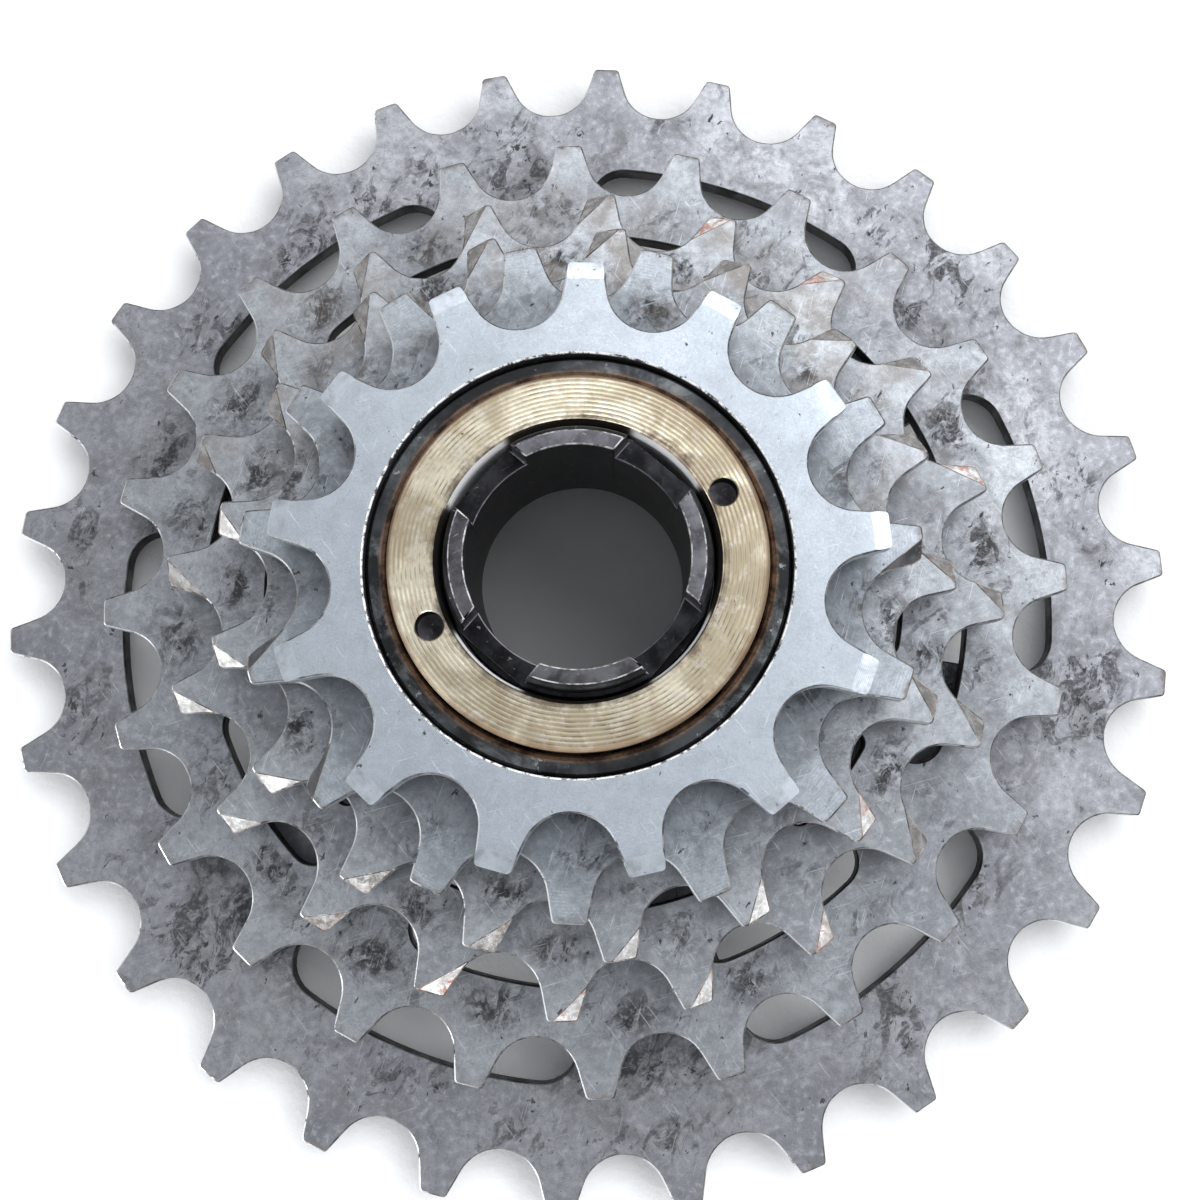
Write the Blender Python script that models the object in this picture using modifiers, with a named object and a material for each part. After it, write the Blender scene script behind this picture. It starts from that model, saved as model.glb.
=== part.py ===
"""Six-speed screw-on bicycle freewheel (sprocket cluster with its ratchet body), lying on its back.

Frame: the axis of rotation is +Z, the floor plane Z = 0 is the hub shoulder face at the back, and the
smallest sprocket is on top. Bearings round the axis are in degrees clockwise from +Y, seen from above.
Lengths are written in millimetres and turned into metres where a shape is made.
"""
import math

import bmesh
import bpy
from mathutils import Vector

MM = 0.001

# ---- chain and sprockets ----------------------------------------------------------------------------
CHAIN_PITCH = 12.7           # half-inch roller chain
SPROCKET_PITCH = 4.8         # distance from one sprocket's front face to the next
SPROCKET_THICKNESS = 1.85
SEAT_RADIUS = 4.35           # arc of the roller seat between two teeth
SEAT_DEPTH = 3.9             # root circle below the pitch circle
TIP_HEIGHT = 1.85            # tip circle above the pitch circle
FLANK_LEAN = 23.0            # flank's angle to the middle line of the gap, degrees
SEAT_STEPS = 4
FRONT_FACE = 28.0            # height of the smallest sprocket's front face
TEETH = (13, 15, 17, 20, 24, 30)
FIRST_TOOTH = (1.22, 13.35, 4.52, 2.40, 12.86, 2.06)    # bearing of one tooth on each sprocket

# ---- freewheel shell: outer steps that carry the sprockets ------------------------------------------
SHELL_BACK = 0.4
SHELL_FRONT = 27.1
FLANGE_RADIUS = 28.3
FLANGE_TOP = 2.1
SPLINE_RADIUS = 25.0         # the three largest sprockets
SMALL_SPLINE_RADIUS = 23.2   # the fourth
THREAD_RADIUS = 21.3         # the fifth, screwed on
SMALL_THREAD_RADIUS = 19.3   # the smallest, screwed on
SPLINE_TOP = 13.4
SMALL_SPLINE_TOP = 18.2
THREAD_TOP = 23.0
KEY_COUNT = 6
KEY_HEIGHT = 1.0
KEY_WIDTH = 4.0
BORE_GAP = 0.15              # radial play of a sprocket or spacer on the shell
FACE_GAP = 0.05              # axial play between stacked faces

# ---- freewheel mechanism ---------------------------------------------------------------------------
HUB_BORE_RADIUS = 17.0       # hub thread, 1.37 in x 24 TPI
HUB_BORE_DEPTH = 14.0
AXLE_BORE_RADIUS = 10.05
BODY_RADIUS = 20.6
BODY_SHOULDER = 16.5
SLEEVE_RADIUS = 14.0
SHIM_SEAT = 21.7
NECK_RADIUS = 12.35
NOTCH_FLOOR = 27.6
LUG_RADIUS = 11.9
LUG_TOP = 30.5
NOTCH_WIDTH = 7.5
NOTCH_COUNT = 4
FIRST_NOTCH = 40.6
REAR_RACE_WALL = 24.1
FRONT_RACE_WALL = 18.1
WEB_RADIUS = 16.2                 # web between the ratchet and the front race
WEB_NECK_RADIUS = 14.9
WEB_BACK = 16.9
WEB_STEP = 20.2
WEB_FRONT = 22.5
MOUTH_RADIUS = 17.45              # shell's mouth round the lock ring
MOUTH_BACK = 26.1
MOUTH_CHAMFER = 0.45
RATCHET_TEETH = 24
RATCHET_TIP_RADIUS = 20.95
RATCHET_ROOT_RADIUS = 22.7
RATCHET_LIP = 1.6                 # degrees from a raised pawl's nose to a tooth tip, root and ramp foot
RATCHET_UNDERCUT = 1.0
RATCHET_LAND = 1.5
RATCHET_BACK = 5.2
RATCHET_FRONT = 12.6
PAWL_PIVOT_RADIUS = 19.3
PAWL_HEEL_RADIUS = 1.1
PAWL_BACK = 5.9
PAWL_FRONT = 12.1
PAWL_BEARINGS = (70.0, 250.0)     # bearing of each pawl's pivot
PAWL_FOLD = 14.0                  # degrees a pawl swings in from a ratchet tooth to its pocket
PAWL_TIP = (6.9, 1.8 + PAWL_PIVOT_RADIUS)     # raised tip corner: along the pawl, and out from the axis
RATCHET_BACKLASH = 0.6            # degrees the cluster turns before a raised pawl's nose bears
POCKET_GAP = 0.3
POCKET_FLOOR_RADIUS = 18.05
POCKET_SPAN = 24.0                # degrees from the pivot to the pocket's far end
SPRING_RADIUS = 18.2
SPRING_THICKNESS = 0.25
SPRING_START = 8.5                # degrees from the pivot
SPRING_END = 19.0
SPRING_BACK = 8.0
SPRING_FRONT = 10.0
BALL_RADIUS = 1.5875              # 1/8 in balls
REAR_RACE_RADIUS = 22.35
REAR_RACE_HEIGHT = 3.1
REAR_BALLS = 16
FRONT_RACE_RADIUS = 16.3
FRONT_RACE_HEIGHT = 24.3
FRONT_BALLS = 12
LOCK_RING_RADIUS = 17.2
LOCK_RING_BORE = 12.65
LOCK_RING_TOP = 28.6
PIN_HOLE_RADIUS = 1.3
PIN_HOLE_CIRCLE = 14.5
PIN_HOLE_DEPTH = 1.85
PIN_HOLE_BEARINGS = (64.8, 245.4)

TURNED_STEPS = 48                 # facets round a turned piece


# ---- scene and materials ----------------------------------------------------------------------------
def clear_scene():
    for item in list(bpy.data.objects):
        bpy.data.objects.remove(item, do_unlink=True)


def make_collection(name):
    collection = bpy.data.collections.new(name)
    bpy.context.scene.collection.children.link(collection)
    return collection


def make_material(name, colour, roughness, metallic):
    material = bpy.data.materials.new(name)
    material.use_nodes = True
    shader = material.node_tree.nodes["Principled BSDF"]
    shader.inputs["Base Color"].default_value = (*colour, 1.0)
    shader.inputs["Roughness"].default_value = roughness
    shader.inputs["Metallic"].default_value = metallic
    return material


def finish_piece(piece, material):
    """Gives a piece its material and smooth shading, and puts it with the freewheel's parts."""
    piece.data.materials.clear()
    piece.data.materials.append(material)
    if piece.type == "MESH":
        piece.data.shade_smooth()
        piece.data.set_sharp_from_angle(angle=math.radians(35))
    PARTS.objects.link(piece)
    return piece


# ---- shape helpers ----------------------------------------------------------------------------------
def at_bearing(radius, bearing):
    """Point in the XY plane at a radius and a bearing, in millimetres."""
    angle = math.radians(bearing)
    return radius * math.sin(angle), radius * math.cos(angle)


def ring_points(radius, steps):
    return [at_bearing(radius, 360.0 * step / steps) for step in range(steps)]


def turned_object(name, profile):
    """Solid of revolution from a closed (radius, height) profile listed down its outer side."""
    mesh = bpy.data.meshes.new(name)
    points = [(radius * MM, 0.0, height * MM) for radius, height in profile]
    edges = [(i, (i + 1) % len(points)) for i in range(len(points))]
    mesh.from_pydata(points, edges, [])
    piece = bpy.data.objects.new(name, mesh)
    screw = piece.modifiers.new("Turn", "SCREW")
    screw.steps = TURNED_STEPS
    screw.render_steps = TURNED_STEPS
    screw.use_merge_vertices = True
    screw.merge_threshold = 0.00001
    return piece


def plate_object(name, outlines, bottom, top):
    """Flat plate between two heights: the first outline is its edge and the others are holes in it."""
    curve = bpy.data.curves.new(name, "CURVE")
    curve.dimensions = "2D"
    curve.fill_mode = "BOTH"
    curve.extrude = (top - bottom) / 2 * MM
    for outline in outlines:
        spline = curve.splines.new("POLY")
        spline.points.add(len(outline) - 1)
        for point, (x, y) in zip(spline.points, outline):
            point.co = (x * MM, y * MM, 0.0, 1.0)
        spline.use_cyclic_u = True
    piece = bpy.data.objects.new(name, curve)
    piece.location.z = (top + bottom) / 2 * MM
    return piece


def as_mesh(piece):
    """The piece with its curve or modifiers made into one welded mesh, in place of the original."""
    holder = bpy.context.scene.collection
    holder.objects.link(piece)
    bpy.context.view_layer.update()
    evaluated = piece.evaluated_get(bpy.context.evaluated_depsgraph_get())
    mesh = bpy.data.meshes.new_from_object(evaluated)
    work = bmesh.new()
    work.from_mesh(mesh)
    bmesh.ops.remove_doubles(work, verts=work.verts, dist=0.000001)
    bmesh.ops.recalc_face_normals(work, faces=work.faces)
    work.to_mesh(mesh)
    work.free()
    name = piece.name
    solid = bpy.data.objects.new(name + "_solid", mesh)
    solid.matrix_world = piece.matrix_world.copy()
    bpy.data.objects.remove(piece, do_unlink=True)
    solid.name = name
    return solid


def box_object(name, size, centre, bearing=0.0):
    """Box of a size (along the bearing, across it, up) centred on a point, in millimetres."""
    mesh = bpy.data.meshes.new(name)
    work = bmesh.new()
    bmesh.ops.create_cube(work, size=1.0)
    length, width, height = size
    bmesh.ops.scale(work, vec=Vector((width, length, height)) * MM, verts=work.verts)
    work.to_mesh(mesh)
    work.free()
    piece = bpy.data.objects.new(name, mesh)
    piece.location = Vector(centre) * MM
    piece.rotation_euler.z = -math.radians(bearing)
    return piece


def cut(piece, cutter, operation="DIFFERENCE"):
    """Adds an exact Boolean and puts the cutter with the hidden construction pieces."""
    CUTTERS.objects.link(cutter)
    cutter.hide_render = True
    cutter.display_type = "WIRE"
    modifier = piece.modifiers.new(cutter.name, "BOOLEAN")
    modifier.operation = operation
    modifier.object = cutter
    modifier.solver = "EXACT"


# ---- sprockets --------------------------------------------------------------------------------------
def pitch_radius(teeth):
    return CHAIN_PITCH / (2 * math.sin(math.pi / teeth))


def sprocket_front(index):
    return FRONT_FACE - SPROCKET_PITCH * index


def tooth_outline(teeth, first_tooth):
    """Round roller seats joined by straight leaning flanks and cut off at the tip circle."""
    seat_centre = pitch_radius(teeth) - SEAT_DEPTH + SEAT_RADIUS
    tip_radius = pitch_radius(teeth) + TIP_HEIGHT
    sweep = math.radians(90.0 - FLANK_LEAN)
    lean = math.tan(math.radians(FLANK_LEAN))
    flank_side = SEAT_RADIUS * math.sin(sweep)
    flank_foot = seat_centre - SEAT_RADIUS * math.cos(sweep)
    # the flank leaves the seat at (flank_side, flank_foot) and meets the tip circle at `reach` above it
    a = 1.0 + lean * lean
    b = 2.0 * (flank_foot + flank_side * lean)
    c = flank_foot ** 2 + flank_side ** 2 - tip_radius ** 2
    reach = (-b + math.sqrt(b * b - 4.0 * a * c)) / (2.0 * a)
    tip = (flank_side + reach * lean, flank_foot + reach)
    outline = []
    for gap in range(teeth):
        middle = math.radians(first_tooth + 360.0 * (gap + 0.5) / teeth)
        seat = [-sweep + 2 * sweep * step / SEAT_STEPS for step in range(SEAT_STEPS + 1)]
        local = [(-tip[0], tip[1])]
        local += [(SEAT_RADIUS * math.sin(t), seat_centre - SEAT_RADIUS * math.cos(t)) for t in seat]
        local += [tip]
        for across, out in local:
            x = out * math.sin(middle) + across * math.cos(middle)
            y = out * math.cos(middle) - across * math.sin(middle)
            outline.append((x, y))
    return outline


def window_outline(middle, half_span, inner, outer, corner):
    """One rounded opening between two spokes, as wide in degrees at its inner as at its outer edge."""
    outline = []
    steps = 2
    for edge, side, turn in ((outer, -1, 0), (outer, 1, 1), (inner, 1, 0), (inner, -1, 1)):
        inward = -1 if edge == outer else 1
        for step in range(steps + 1):
            t = step / steps * math.pi / 2
            t = math.pi / 2 - t if turn else t
            radius = edge + inward * corner * (1 - math.sin(t))
            shift = math.degrees(corner * (1 - math.cos(t)) / edge)
            outline.append(at_bearing(radius, middle + side * (half_span - shift)))
        if edge == outer and side == -1:
            flat = half_span - math.degrees(corner / edge)
            outline += [at_bearing(outer, middle + flat * part) for part in (-0.5, 0.0, 0.5)]
    return outline


def keyed_bore(radius, keys):
    """Bore with a slot for each of the shell's keys, or a plain round one."""
    if not keys:
        return ring_points(radius + BORE_GAP, TURNED_STEPS)
    outline = []
    pitch = 360.0 / keys
    slot = math.degrees((KEY_WIDTH / 2 + BORE_GAP) / radius)
    for key in range(keys):
        bearing = key * pitch
        for offset in (-slot, slot):
            inner = at_bearing(radius + BORE_GAP, bearing + offset)
            deep = at_bearing(radius + KEY_HEIGHT + BORE_GAP * 2, bearing + offset)
            outline += [inner, deep] if offset < 0 else [deep, inner]
        for step in range(1, 6):
            part = slot + (pitch - 2 * slot) * step / 6
            outline.append(at_bearing(radius + BORE_GAP, bearing + part))
    return outline


SEATS = (                     # shell radius and number of keys under each sprocket
    (SMALL_THREAD_RADIUS, 0),
    (THREAD_RADIUS, 0),
    (SMALL_SPLINE_RADIUS, KEY_COUNT),
    (SPLINE_RADIUS, KEY_COUNT),
    (SPLINE_RADIUS, KEY_COUNT),
    (SPLINE_RADIUS, KEY_COUNT),
)
WINDOWS = {                   # count, middle bearing, half span, inner and outer radius, corner radius
    20: (10, 20.4, 10.25, 29.0, 32.1, 1.2),
    24: (8, 12.86, 14.7, 29.3, 39.8, 3.0),
    30: (6, 20.06, 19.4, 29.6, 50.1, 4.0),
}


def make_sprockets(material):
    for index, teeth in enumerate(TEETH):
        outlines = [tooth_outline(teeth, FIRST_TOOTH[index]), keyed_bore(*SEATS[index])]
        if teeth in WINDOWS:
            count, middle, half_span, inner, outer, corner = WINDOWS[teeth]
            for window in range(count):
                bearing = middle + 360.0 * window / count
                outlines.append(window_outline(bearing, half_span, inner, outer, corner))
        top = sprocket_front(index)
        name = f"sprocket_{teeth}t"
        finish_piece(as_mesh(plate_object(name, outlines, top - SPROCKET_THICKNESS, top)), material)


def make_spacers(material):
    """Plain rings that hold the sprockets a pitch apart; the wide ones pass over the shell's keys."""
    rings = (
        ("spacer_13_15", 0, SMALL_THREAD_RADIUS, 21.8),
        ("spacer_15_17", 1, THREAD_RADIUS, 24.6),
        ("spacer_17_20", 2, SMALL_SPLINE_RADIUS + KEY_HEIGHT, 27.4),
        ("spacer_20_24", 3, SPLINE_RADIUS + KEY_HEIGHT, 28.3),
        ("spacer_24_30", 4, SPLINE_RADIUS + KEY_HEIGHT, 28.3),
    )
    for name, index, seat, outer in rings:
        top = sprocket_front(index) - SPROCKET_THICKNESS - FACE_GAP
        bottom = sprocket_front(index + 1) + FACE_GAP
        inner = seat + BORE_GAP
        profile = [(outer, top), (outer, bottom), (inner, bottom), (inner, top)]
        finish_piece(turned_object(name, profile), material)


# ---- shell ------------------------------------------------------------------------------------------
def ratchet_outline():
    """Saw teeth that meet the pawls: a steep drive face, then a ramp back in to the next tip."""
    pitch = 360.0 / RATCHET_TEETH
    first = PAWL_BEARINGS[0] - math.degrees(math.atan2(*PAWL_TIP)) - RATCHET_BACKLASH
    outline = []
    for tooth in range(RATCHET_TEETH):
        face = first + tooth * pitch
        outline.append(at_bearing(RATCHET_TIP_RADIUS - POCKET_GAP, face - RATCHET_LIP))
        outline.append(at_bearing(RATCHET_ROOT_RADIUS, face - RATCHET_UNDERCUT))
        outline.append(at_bearing(RATCHET_ROOT_RADIUS, face + RATCHET_LAND))
    return outline


def make_shell(material):
    profile = [
        (SMALL_THREAD_RADIUS, SHELL_FRONT),
        (SMALL_THREAD_RADIUS, THREAD_TOP),
        (THREAD_RADIUS, THREAD_TOP),
        (THREAD_RADIUS, SMALL_SPLINE_TOP),
        (SMALL_SPLINE_RADIUS, SMALL_SPLINE_TOP),
        (SMALL_SPLINE_RADIUS, SPLINE_TOP),
        (SPLINE_RADIUS, SPLINE_TOP),
        (SPLINE_RADIUS, FLANGE_TOP),
        (FLANGE_RADIUS, FLANGE_TOP),
        (FLANGE_RADIUS, SHELL_BACK),
        (REAR_RACE_WALL, SHELL_BACK),
        (REAR_RACE_WALL, RATCHET_BACK),
        (RATCHET_TIP_RADIUS, RATCHET_BACK),
        (RATCHET_TIP_RADIUS, WEB_BACK),
        (WEB_RADIUS, WEB_BACK),
        (WEB_RADIUS, WEB_STEP),
        (WEB_NECK_RADIUS, WEB_STEP),
        (WEB_NECK_RADIUS, WEB_FRONT),
        (FRONT_RACE_WALL, WEB_FRONT),
        (FRONT_RACE_WALL, MOUTH_BACK),
        (MOUTH_RADIUS, MOUTH_BACK),
        (MOUTH_RADIUS, SHELL_FRONT - MOUTH_CHAMFER),
        (MOUTH_RADIUS + MOUTH_CHAMFER, SHELL_FRONT),
    ]
    shell = as_mesh(turned_object("freewheel_shell", profile))
    ratchet = plate_object("ratchet_cutter", [ratchet_outline()], RATCHET_BACK - 0.5, RATCHET_FRONT)
    cut(shell, as_mesh(ratchet))
    key_sets = (
        (SPLINE_RADIUS, FLANGE_TOP - 0.3, SPLINE_TOP - 0.15),
        (SMALL_SPLINE_RADIUS, SPLINE_TOP - 0.3, SMALL_SPLINE_TOP - 0.15),
    )
    sunk = 0.6
    for radius, bottom, top in key_sets:
        for key in range(KEY_COUNT):
            bearing = 360.0 * key / KEY_COUNT
            x, y = at_bearing(radius + (KEY_HEIGHT - sunk) / 2, bearing)
            size = (KEY_HEIGHT + sunk, KEY_WIDTH, top - bottom)
            bar = box_object(f"key_{radius:.0f}_{key}", size, (x, y, (top + bottom) / 2), bearing)
            cut(shell, bar, "UNION")
    finish_piece(shell, material)


def make_rear_dust_ring(material):
    bottom, top = 0.45, 1.25
    outer, inner = REAR_RACE_WALL - BORE_GAP, BODY_RADIUS + POCKET_GAP
    profile = [(outer, top), (outer, bottom), (inner, bottom), (inner, top)]
    finish_piece(turned_object("rear_dust_ring", profile), material)


# ---- inner body, lock ring and shims ----------------------------------------------------------------
def pocket_outline():
    """Pawl pocket seen from above, with the pivot at the origin, X away from the heel and Y outward."""
    socket = PAWL_HEEL_RADIUS + POCKET_GAP
    outline = []
    for step in range(5):
        t = math.radians(90 + 180 * step / 4)
        outline.append((socket * math.cos(t), socket * math.sin(t)))
    for bearing in (8.0, 14.0, 19.0, POCKET_SPAN):
        x, y = at_bearing(POCKET_FLOOR_RADIUS, bearing)
        outline.append((x, y - PAWL_PIVOT_RADIUS))
    x, y = at_bearing(BODY_RADIUS + 1.0, POCKET_SPAN)
    outline.append((x, y - PAWL_PIVOT_RADIUS))
    outline.append((0.0, BODY_RADIUS + 1.0 - PAWL_PIVOT_RADIUS))
    return outline


def place_at_pivot(piece, bearing):
    """Puts a pocket, pawl or spring on its pivot; the pawl then points anticlockwise, against the drive."""
    x, y = at_bearing(PAWL_PIVOT_RADIUS, bearing)
    piece.location.x = x * MM
    piece.location.y = y * MM
    piece.rotation_euler.z = -math.radians(bearing)


def mirrored(outline):
    """The outline turned over left to right, still listed in order."""
    return [(-x, y) for x, y in reversed(outline)]


def make_inner_body(material):
    profile = [
        (LUG_RADIUS, LUG_TOP),
        (LUG_RADIUS, NOTCH_FLOOR),
        (NECK_RADIUS, NOTCH_FLOOR),
        (NECK_RADIUS, SHIM_SEAT),
        (SLEEVE_RADIUS, SHIM_SEAT),
        (SLEEVE_RADIUS, BODY_SHOULDER),
        (BODY_RADIUS, BODY_SHOULDER),
        (BODY_RADIUS, 0.0),
        (HUB_BORE_RADIUS, 0.0),
        (HUB_BORE_RADIUS, HUB_BORE_DEPTH),
        (AXLE_BORE_RADIUS, HUB_BORE_DEPTH),
        (AXLE_BORE_RADIUS, LUG_TOP),
    ]
    body = as_mesh(turned_object("inner_body", profile))
    for notch in range(NOTCH_COUNT):
        bearing = FIRST_NOTCH + 360.0 * notch / NOTCH_COUNT
        x, y = at_bearing(10.5, bearing)
        height = LUG_TOP - NOTCH_FLOOR + 1.0
        centre = (x, y, NOTCH_FLOOR + height / 2)
        cut(body, box_object(f"notch_{notch}", (6.0, NOTCH_WIDTH, height), centre, bearing))
    for side, bearing in zip("ab", PAWL_BEARINGS):
        outline = mirrored(pocket_outline())
        pocket = plate_object(f"pocket_{side}", [outline], PAWL_BACK - POCKET_GAP, PAWL_FRONT + POCKET_GAP)
        place_at_pivot(pocket, bearing)
        cut(body, as_mesh(pocket))
    finish_piece(body, material)


def make_lock_ring(material):
    under_flange = 26.15
    bottom = SHIM_SEAT + 0.75
    profile = [
        (LOCK_RING_RADIUS - 0.3, LOCK_RING_TOP),
        (LOCK_RING_RADIUS, LOCK_RING_TOP - 0.3),
        (LOCK_RING_RADIUS, under_flange),
        (14.5, under_flange),
        (14.5, bottom),
        (LOCK_RING_BORE, bottom),
        (LOCK_RING_BORE, LOCK_RING_TOP - 0.4),
        (LOCK_RING_BORE + 0.4, LOCK_RING_TOP),
    ]
    ring = as_mesh(turned_object("lock_ring", profile))
    for number, bearing in enumerate(PIN_HOLE_BEARINGS):
        x, y = at_bearing(PIN_HOLE_CIRCLE, bearing)
        outline = [(x + px, y + py) for px, py in ring_points(PIN_HOLE_RADIUS, 16)]
        hole = plate_object(f"pin_hole_{number}", [outline], LOCK_RING_TOP - PIN_HOLE_DEPTH, LOCK_RING_TOP + 1)
        cut(ring, as_mesh(hole))
    finish_piece(ring, material)


def make_shims(material):
    thickness = 0.3
    for number in range(2):
        bottom = SHIM_SEAT + FACE_GAP + number * (thickness + FACE_GAP)
        top = bottom + thickness
        inner, outer = NECK_RADIUS + 0.25, SLEEVE_RADIUS - 0.1
        profile = [(outer, top), (outer, bottom), (inner, bottom), (inner, top)]
        finish_piece(turned_object(f"shim_{'ab'[number]}", profile), material)


# ---- pawls, springs and bearings --------------------------------------------------------------------
def pawl_outline():
    """Round heel on the pivot, a waist, and the square tip that meets a ratchet tooth, raised."""
    outline = []
    for step in range(6):
        t = math.radians(90 + 190 * step / 5)
        outline.append((PAWL_HEEL_RADIUS * math.cos(t), PAWL_HEEL_RADIUS * math.sin(t)))
    outline += [(3.5, -0.05), (6.75, 0.2)]
    outline += [(PAWL_TIP[0], PAWL_TIP[1] - PAWL_PIVOT_RADIUS), (2.2, 1.25)]
    return outline


def spring_outline():
    """Thin leaf pressed along the pocket floor under the folded pawl."""
    bearings = [SPRING_START + (SPRING_END - SPRING_START) * step / 4 for step in range(5)]
    floor = [at_bearing(SPRING_RADIUS, bearing) for bearing in bearings]
    back = [at_bearing(SPRING_RADIUS + SPRING_THICKNESS, bearing) for bearing in reversed(bearings)]
    return [(x, y - PAWL_PIVOT_RADIUS) for x, y in floor + back]


def make_pawls(pawl_material, spring_material):
    """Both pawls folded into their pockets, as when the cluster is freewheeling."""
    for side, bearing in zip("ab", PAWL_BEARINGS):
        pawl = plate_object(f"pawl_{side}", [mirrored(pawl_outline())], PAWL_BACK, PAWL_FRONT)
        place_at_pivot(pawl, bearing)
        pawl.rotation_euler.z += math.radians(PAWL_FOLD)
        finish_piece(as_mesh(pawl), pawl_material)
        spring = plate_object(f"pawl_spring_{side}", [mirrored(spring_outline())], SPRING_BACK, SPRING_FRONT)
        place_at_pivot(spring, bearing)
        finish_piece(as_mesh(spring), spring_material)


def make_ball_ring(name, material, race_radius, race_height, balls):
    """Bearing balls strung on the thin retainer that keeps them apart."""
    thick = 0.35
    profile = [
        (race_radius + thick, race_height + thick),
        (race_radius + thick, race_height - thick),
        (race_radius - thick, race_height - thick),
        (race_radius - thick, race_height + thick),
    ]
    ring = as_mesh(turned_object(name, profile))
    for number in range(balls):
        mesh = bpy.data.meshes.new(f"{name}_ball_{number}")
        work = bmesh.new()
        bmesh.ops.create_uvsphere(work, u_segments=6, v_segments=4, radius=BALL_RADIUS * MM)
        work.to_mesh(mesh)
        work.free()
        ball = bpy.data.objects.new(mesh.name, mesh)
        x, y = at_bearing(race_radius, 360.0 * (number + 0.5) / balls)
        ball.location = (x * MM, y * MM, race_height * MM)
        ball.rotation_euler.z = -math.radians(360.0 * (number + 0.5) / balls)
        cut(ring, ball, "UNION")
    finish_piece(ring, material)


# ---- the whole freewheel ----------------------------------------------------------------------------
clear_scene()
PARTS = make_collection("freewheel")
CUTTERS = make_collection("cutters")

make_sprockets(make_material("sprocket_steel", (0.42, 0.43, 0.45), 0.38, 1.0))
make_spacers(make_material("spacer_steel", (0.16, 0.15, 0.15), 0.5, 1.0))
make_shell(make_material("shell_steel", (0.07, 0.065, 0.07), 0.42, 1.0))
make_rear_dust_ring(make_material("dust_ring_steel", (0.3, 0.3, 0.3), 0.45, 1.0))
make_inner_body(make_material("body_steel", (0.05, 0.05, 0.055), 0.4, 1.0))
make_lock_ring(make_material("gold_plate", (0.72, 0.63, 0.42), 0.3, 1.0))
make_shims(make_material("shim_steel", (0.5, 0.5, 0.5), 0.35, 1.0))
make_pawls(
    make_material("pawl_steel", (0.25, 0.25, 0.26), 0.4, 1.0),
    make_material("spring_steel", (0.35, 0.35, 0.38), 0.3, 1.0),
)
BALL_STEEL = make_material("ball_steel", (0.6, 0.6, 0.62), 0.15, 1.0)
make_ball_ring("rear_ball_ring", BALL_STEEL, REAR_RACE_RADIUS, REAR_RACE_HEIGHT, REAR_BALLS)
make_ball_ring("front_ball_ring", BALL_STEEL, FRONT_RACE_RADIUS, FRONT_RACE_HEIGHT, FRONT_BALLS)
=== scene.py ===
"""Looks of a six-speed screw-on freewheel: worn plated sprockets, gold lock ring, black ratchet body.

Bearings round the axis are in degrees clockwise from +Y, seen from above. Lengths are in millimetres
and turned into metres where a shape is made; heights come from the frame's own nodes.
"""
import math
from contextlib import contextmanager

import bmesh
import bpy
from mathutils import Matrix, Vector, noise


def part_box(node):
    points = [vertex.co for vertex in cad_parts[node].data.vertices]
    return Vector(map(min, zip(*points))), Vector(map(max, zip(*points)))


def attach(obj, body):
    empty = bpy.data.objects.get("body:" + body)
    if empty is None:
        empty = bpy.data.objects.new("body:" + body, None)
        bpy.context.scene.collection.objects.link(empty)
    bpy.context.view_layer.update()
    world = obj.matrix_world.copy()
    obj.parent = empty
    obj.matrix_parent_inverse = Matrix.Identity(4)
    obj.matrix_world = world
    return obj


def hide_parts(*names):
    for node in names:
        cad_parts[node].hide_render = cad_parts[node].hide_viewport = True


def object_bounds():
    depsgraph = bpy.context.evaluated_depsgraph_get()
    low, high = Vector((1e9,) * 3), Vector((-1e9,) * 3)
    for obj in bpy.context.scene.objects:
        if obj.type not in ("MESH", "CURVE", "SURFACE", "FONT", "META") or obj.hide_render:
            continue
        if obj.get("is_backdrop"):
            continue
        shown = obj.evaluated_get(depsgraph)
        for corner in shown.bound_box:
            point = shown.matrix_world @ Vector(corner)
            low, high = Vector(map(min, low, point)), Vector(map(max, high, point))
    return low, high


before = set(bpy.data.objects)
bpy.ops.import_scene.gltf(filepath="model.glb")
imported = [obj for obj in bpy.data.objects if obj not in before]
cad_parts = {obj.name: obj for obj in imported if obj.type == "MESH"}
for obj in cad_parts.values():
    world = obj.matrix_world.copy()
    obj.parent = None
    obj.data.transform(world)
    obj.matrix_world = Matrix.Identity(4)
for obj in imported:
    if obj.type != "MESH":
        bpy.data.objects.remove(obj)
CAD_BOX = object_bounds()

MM = 0.001
WELD = 0.000001
SHARP_ANGLE = 13.0
FLAT_ANGLE = 0.4


def top_of(node):
    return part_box(node)[1].z / MM


def bottom_of(node):
    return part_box(node)[0].z / MM


# ---- driving dimensions ----------------------------------------
CHAIN_PITCH = 12.7
SEAT_RADIUS = 4.35
TIP_HEIGHT = 1.83
FLANK_LEAN = 23.0
SEAT_STEPS = 18
TIP_ROUND = 0.35
KEY_COUNT = 6
KEY_WIDTH = 4.0
KEY_HEIGHT = 1.0
BORE_GAP = 0.15

FRONT_FACE = top_of("sprocket_13t")
LOCK_TOP = top_of("lock_ring")
LUG_TOP = top_of("inner_body")
SHELL_TOP = top_of("freewheel_shell")
SHELL_BACK = bottom_of("freewheel_shell")

NOTCH_FLOOR = 27.6
LUG_BEVEL = 0.42
NOTCH_WIDTH = 7.5
FIRST_NOTCH = 40.6
PIN_HOLES = (64.8, 245.4)
PIN_CIRCLE = 14.5
PIN_RADIUS = 1.3
PIN_DEPTH = 1.85


# ---- shape helpers ---------------------------------------------
def at_bearing(radius, bearing):
    angle = math.radians(bearing)
    return radius * math.sin(angle), radius * math.cos(angle)


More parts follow.
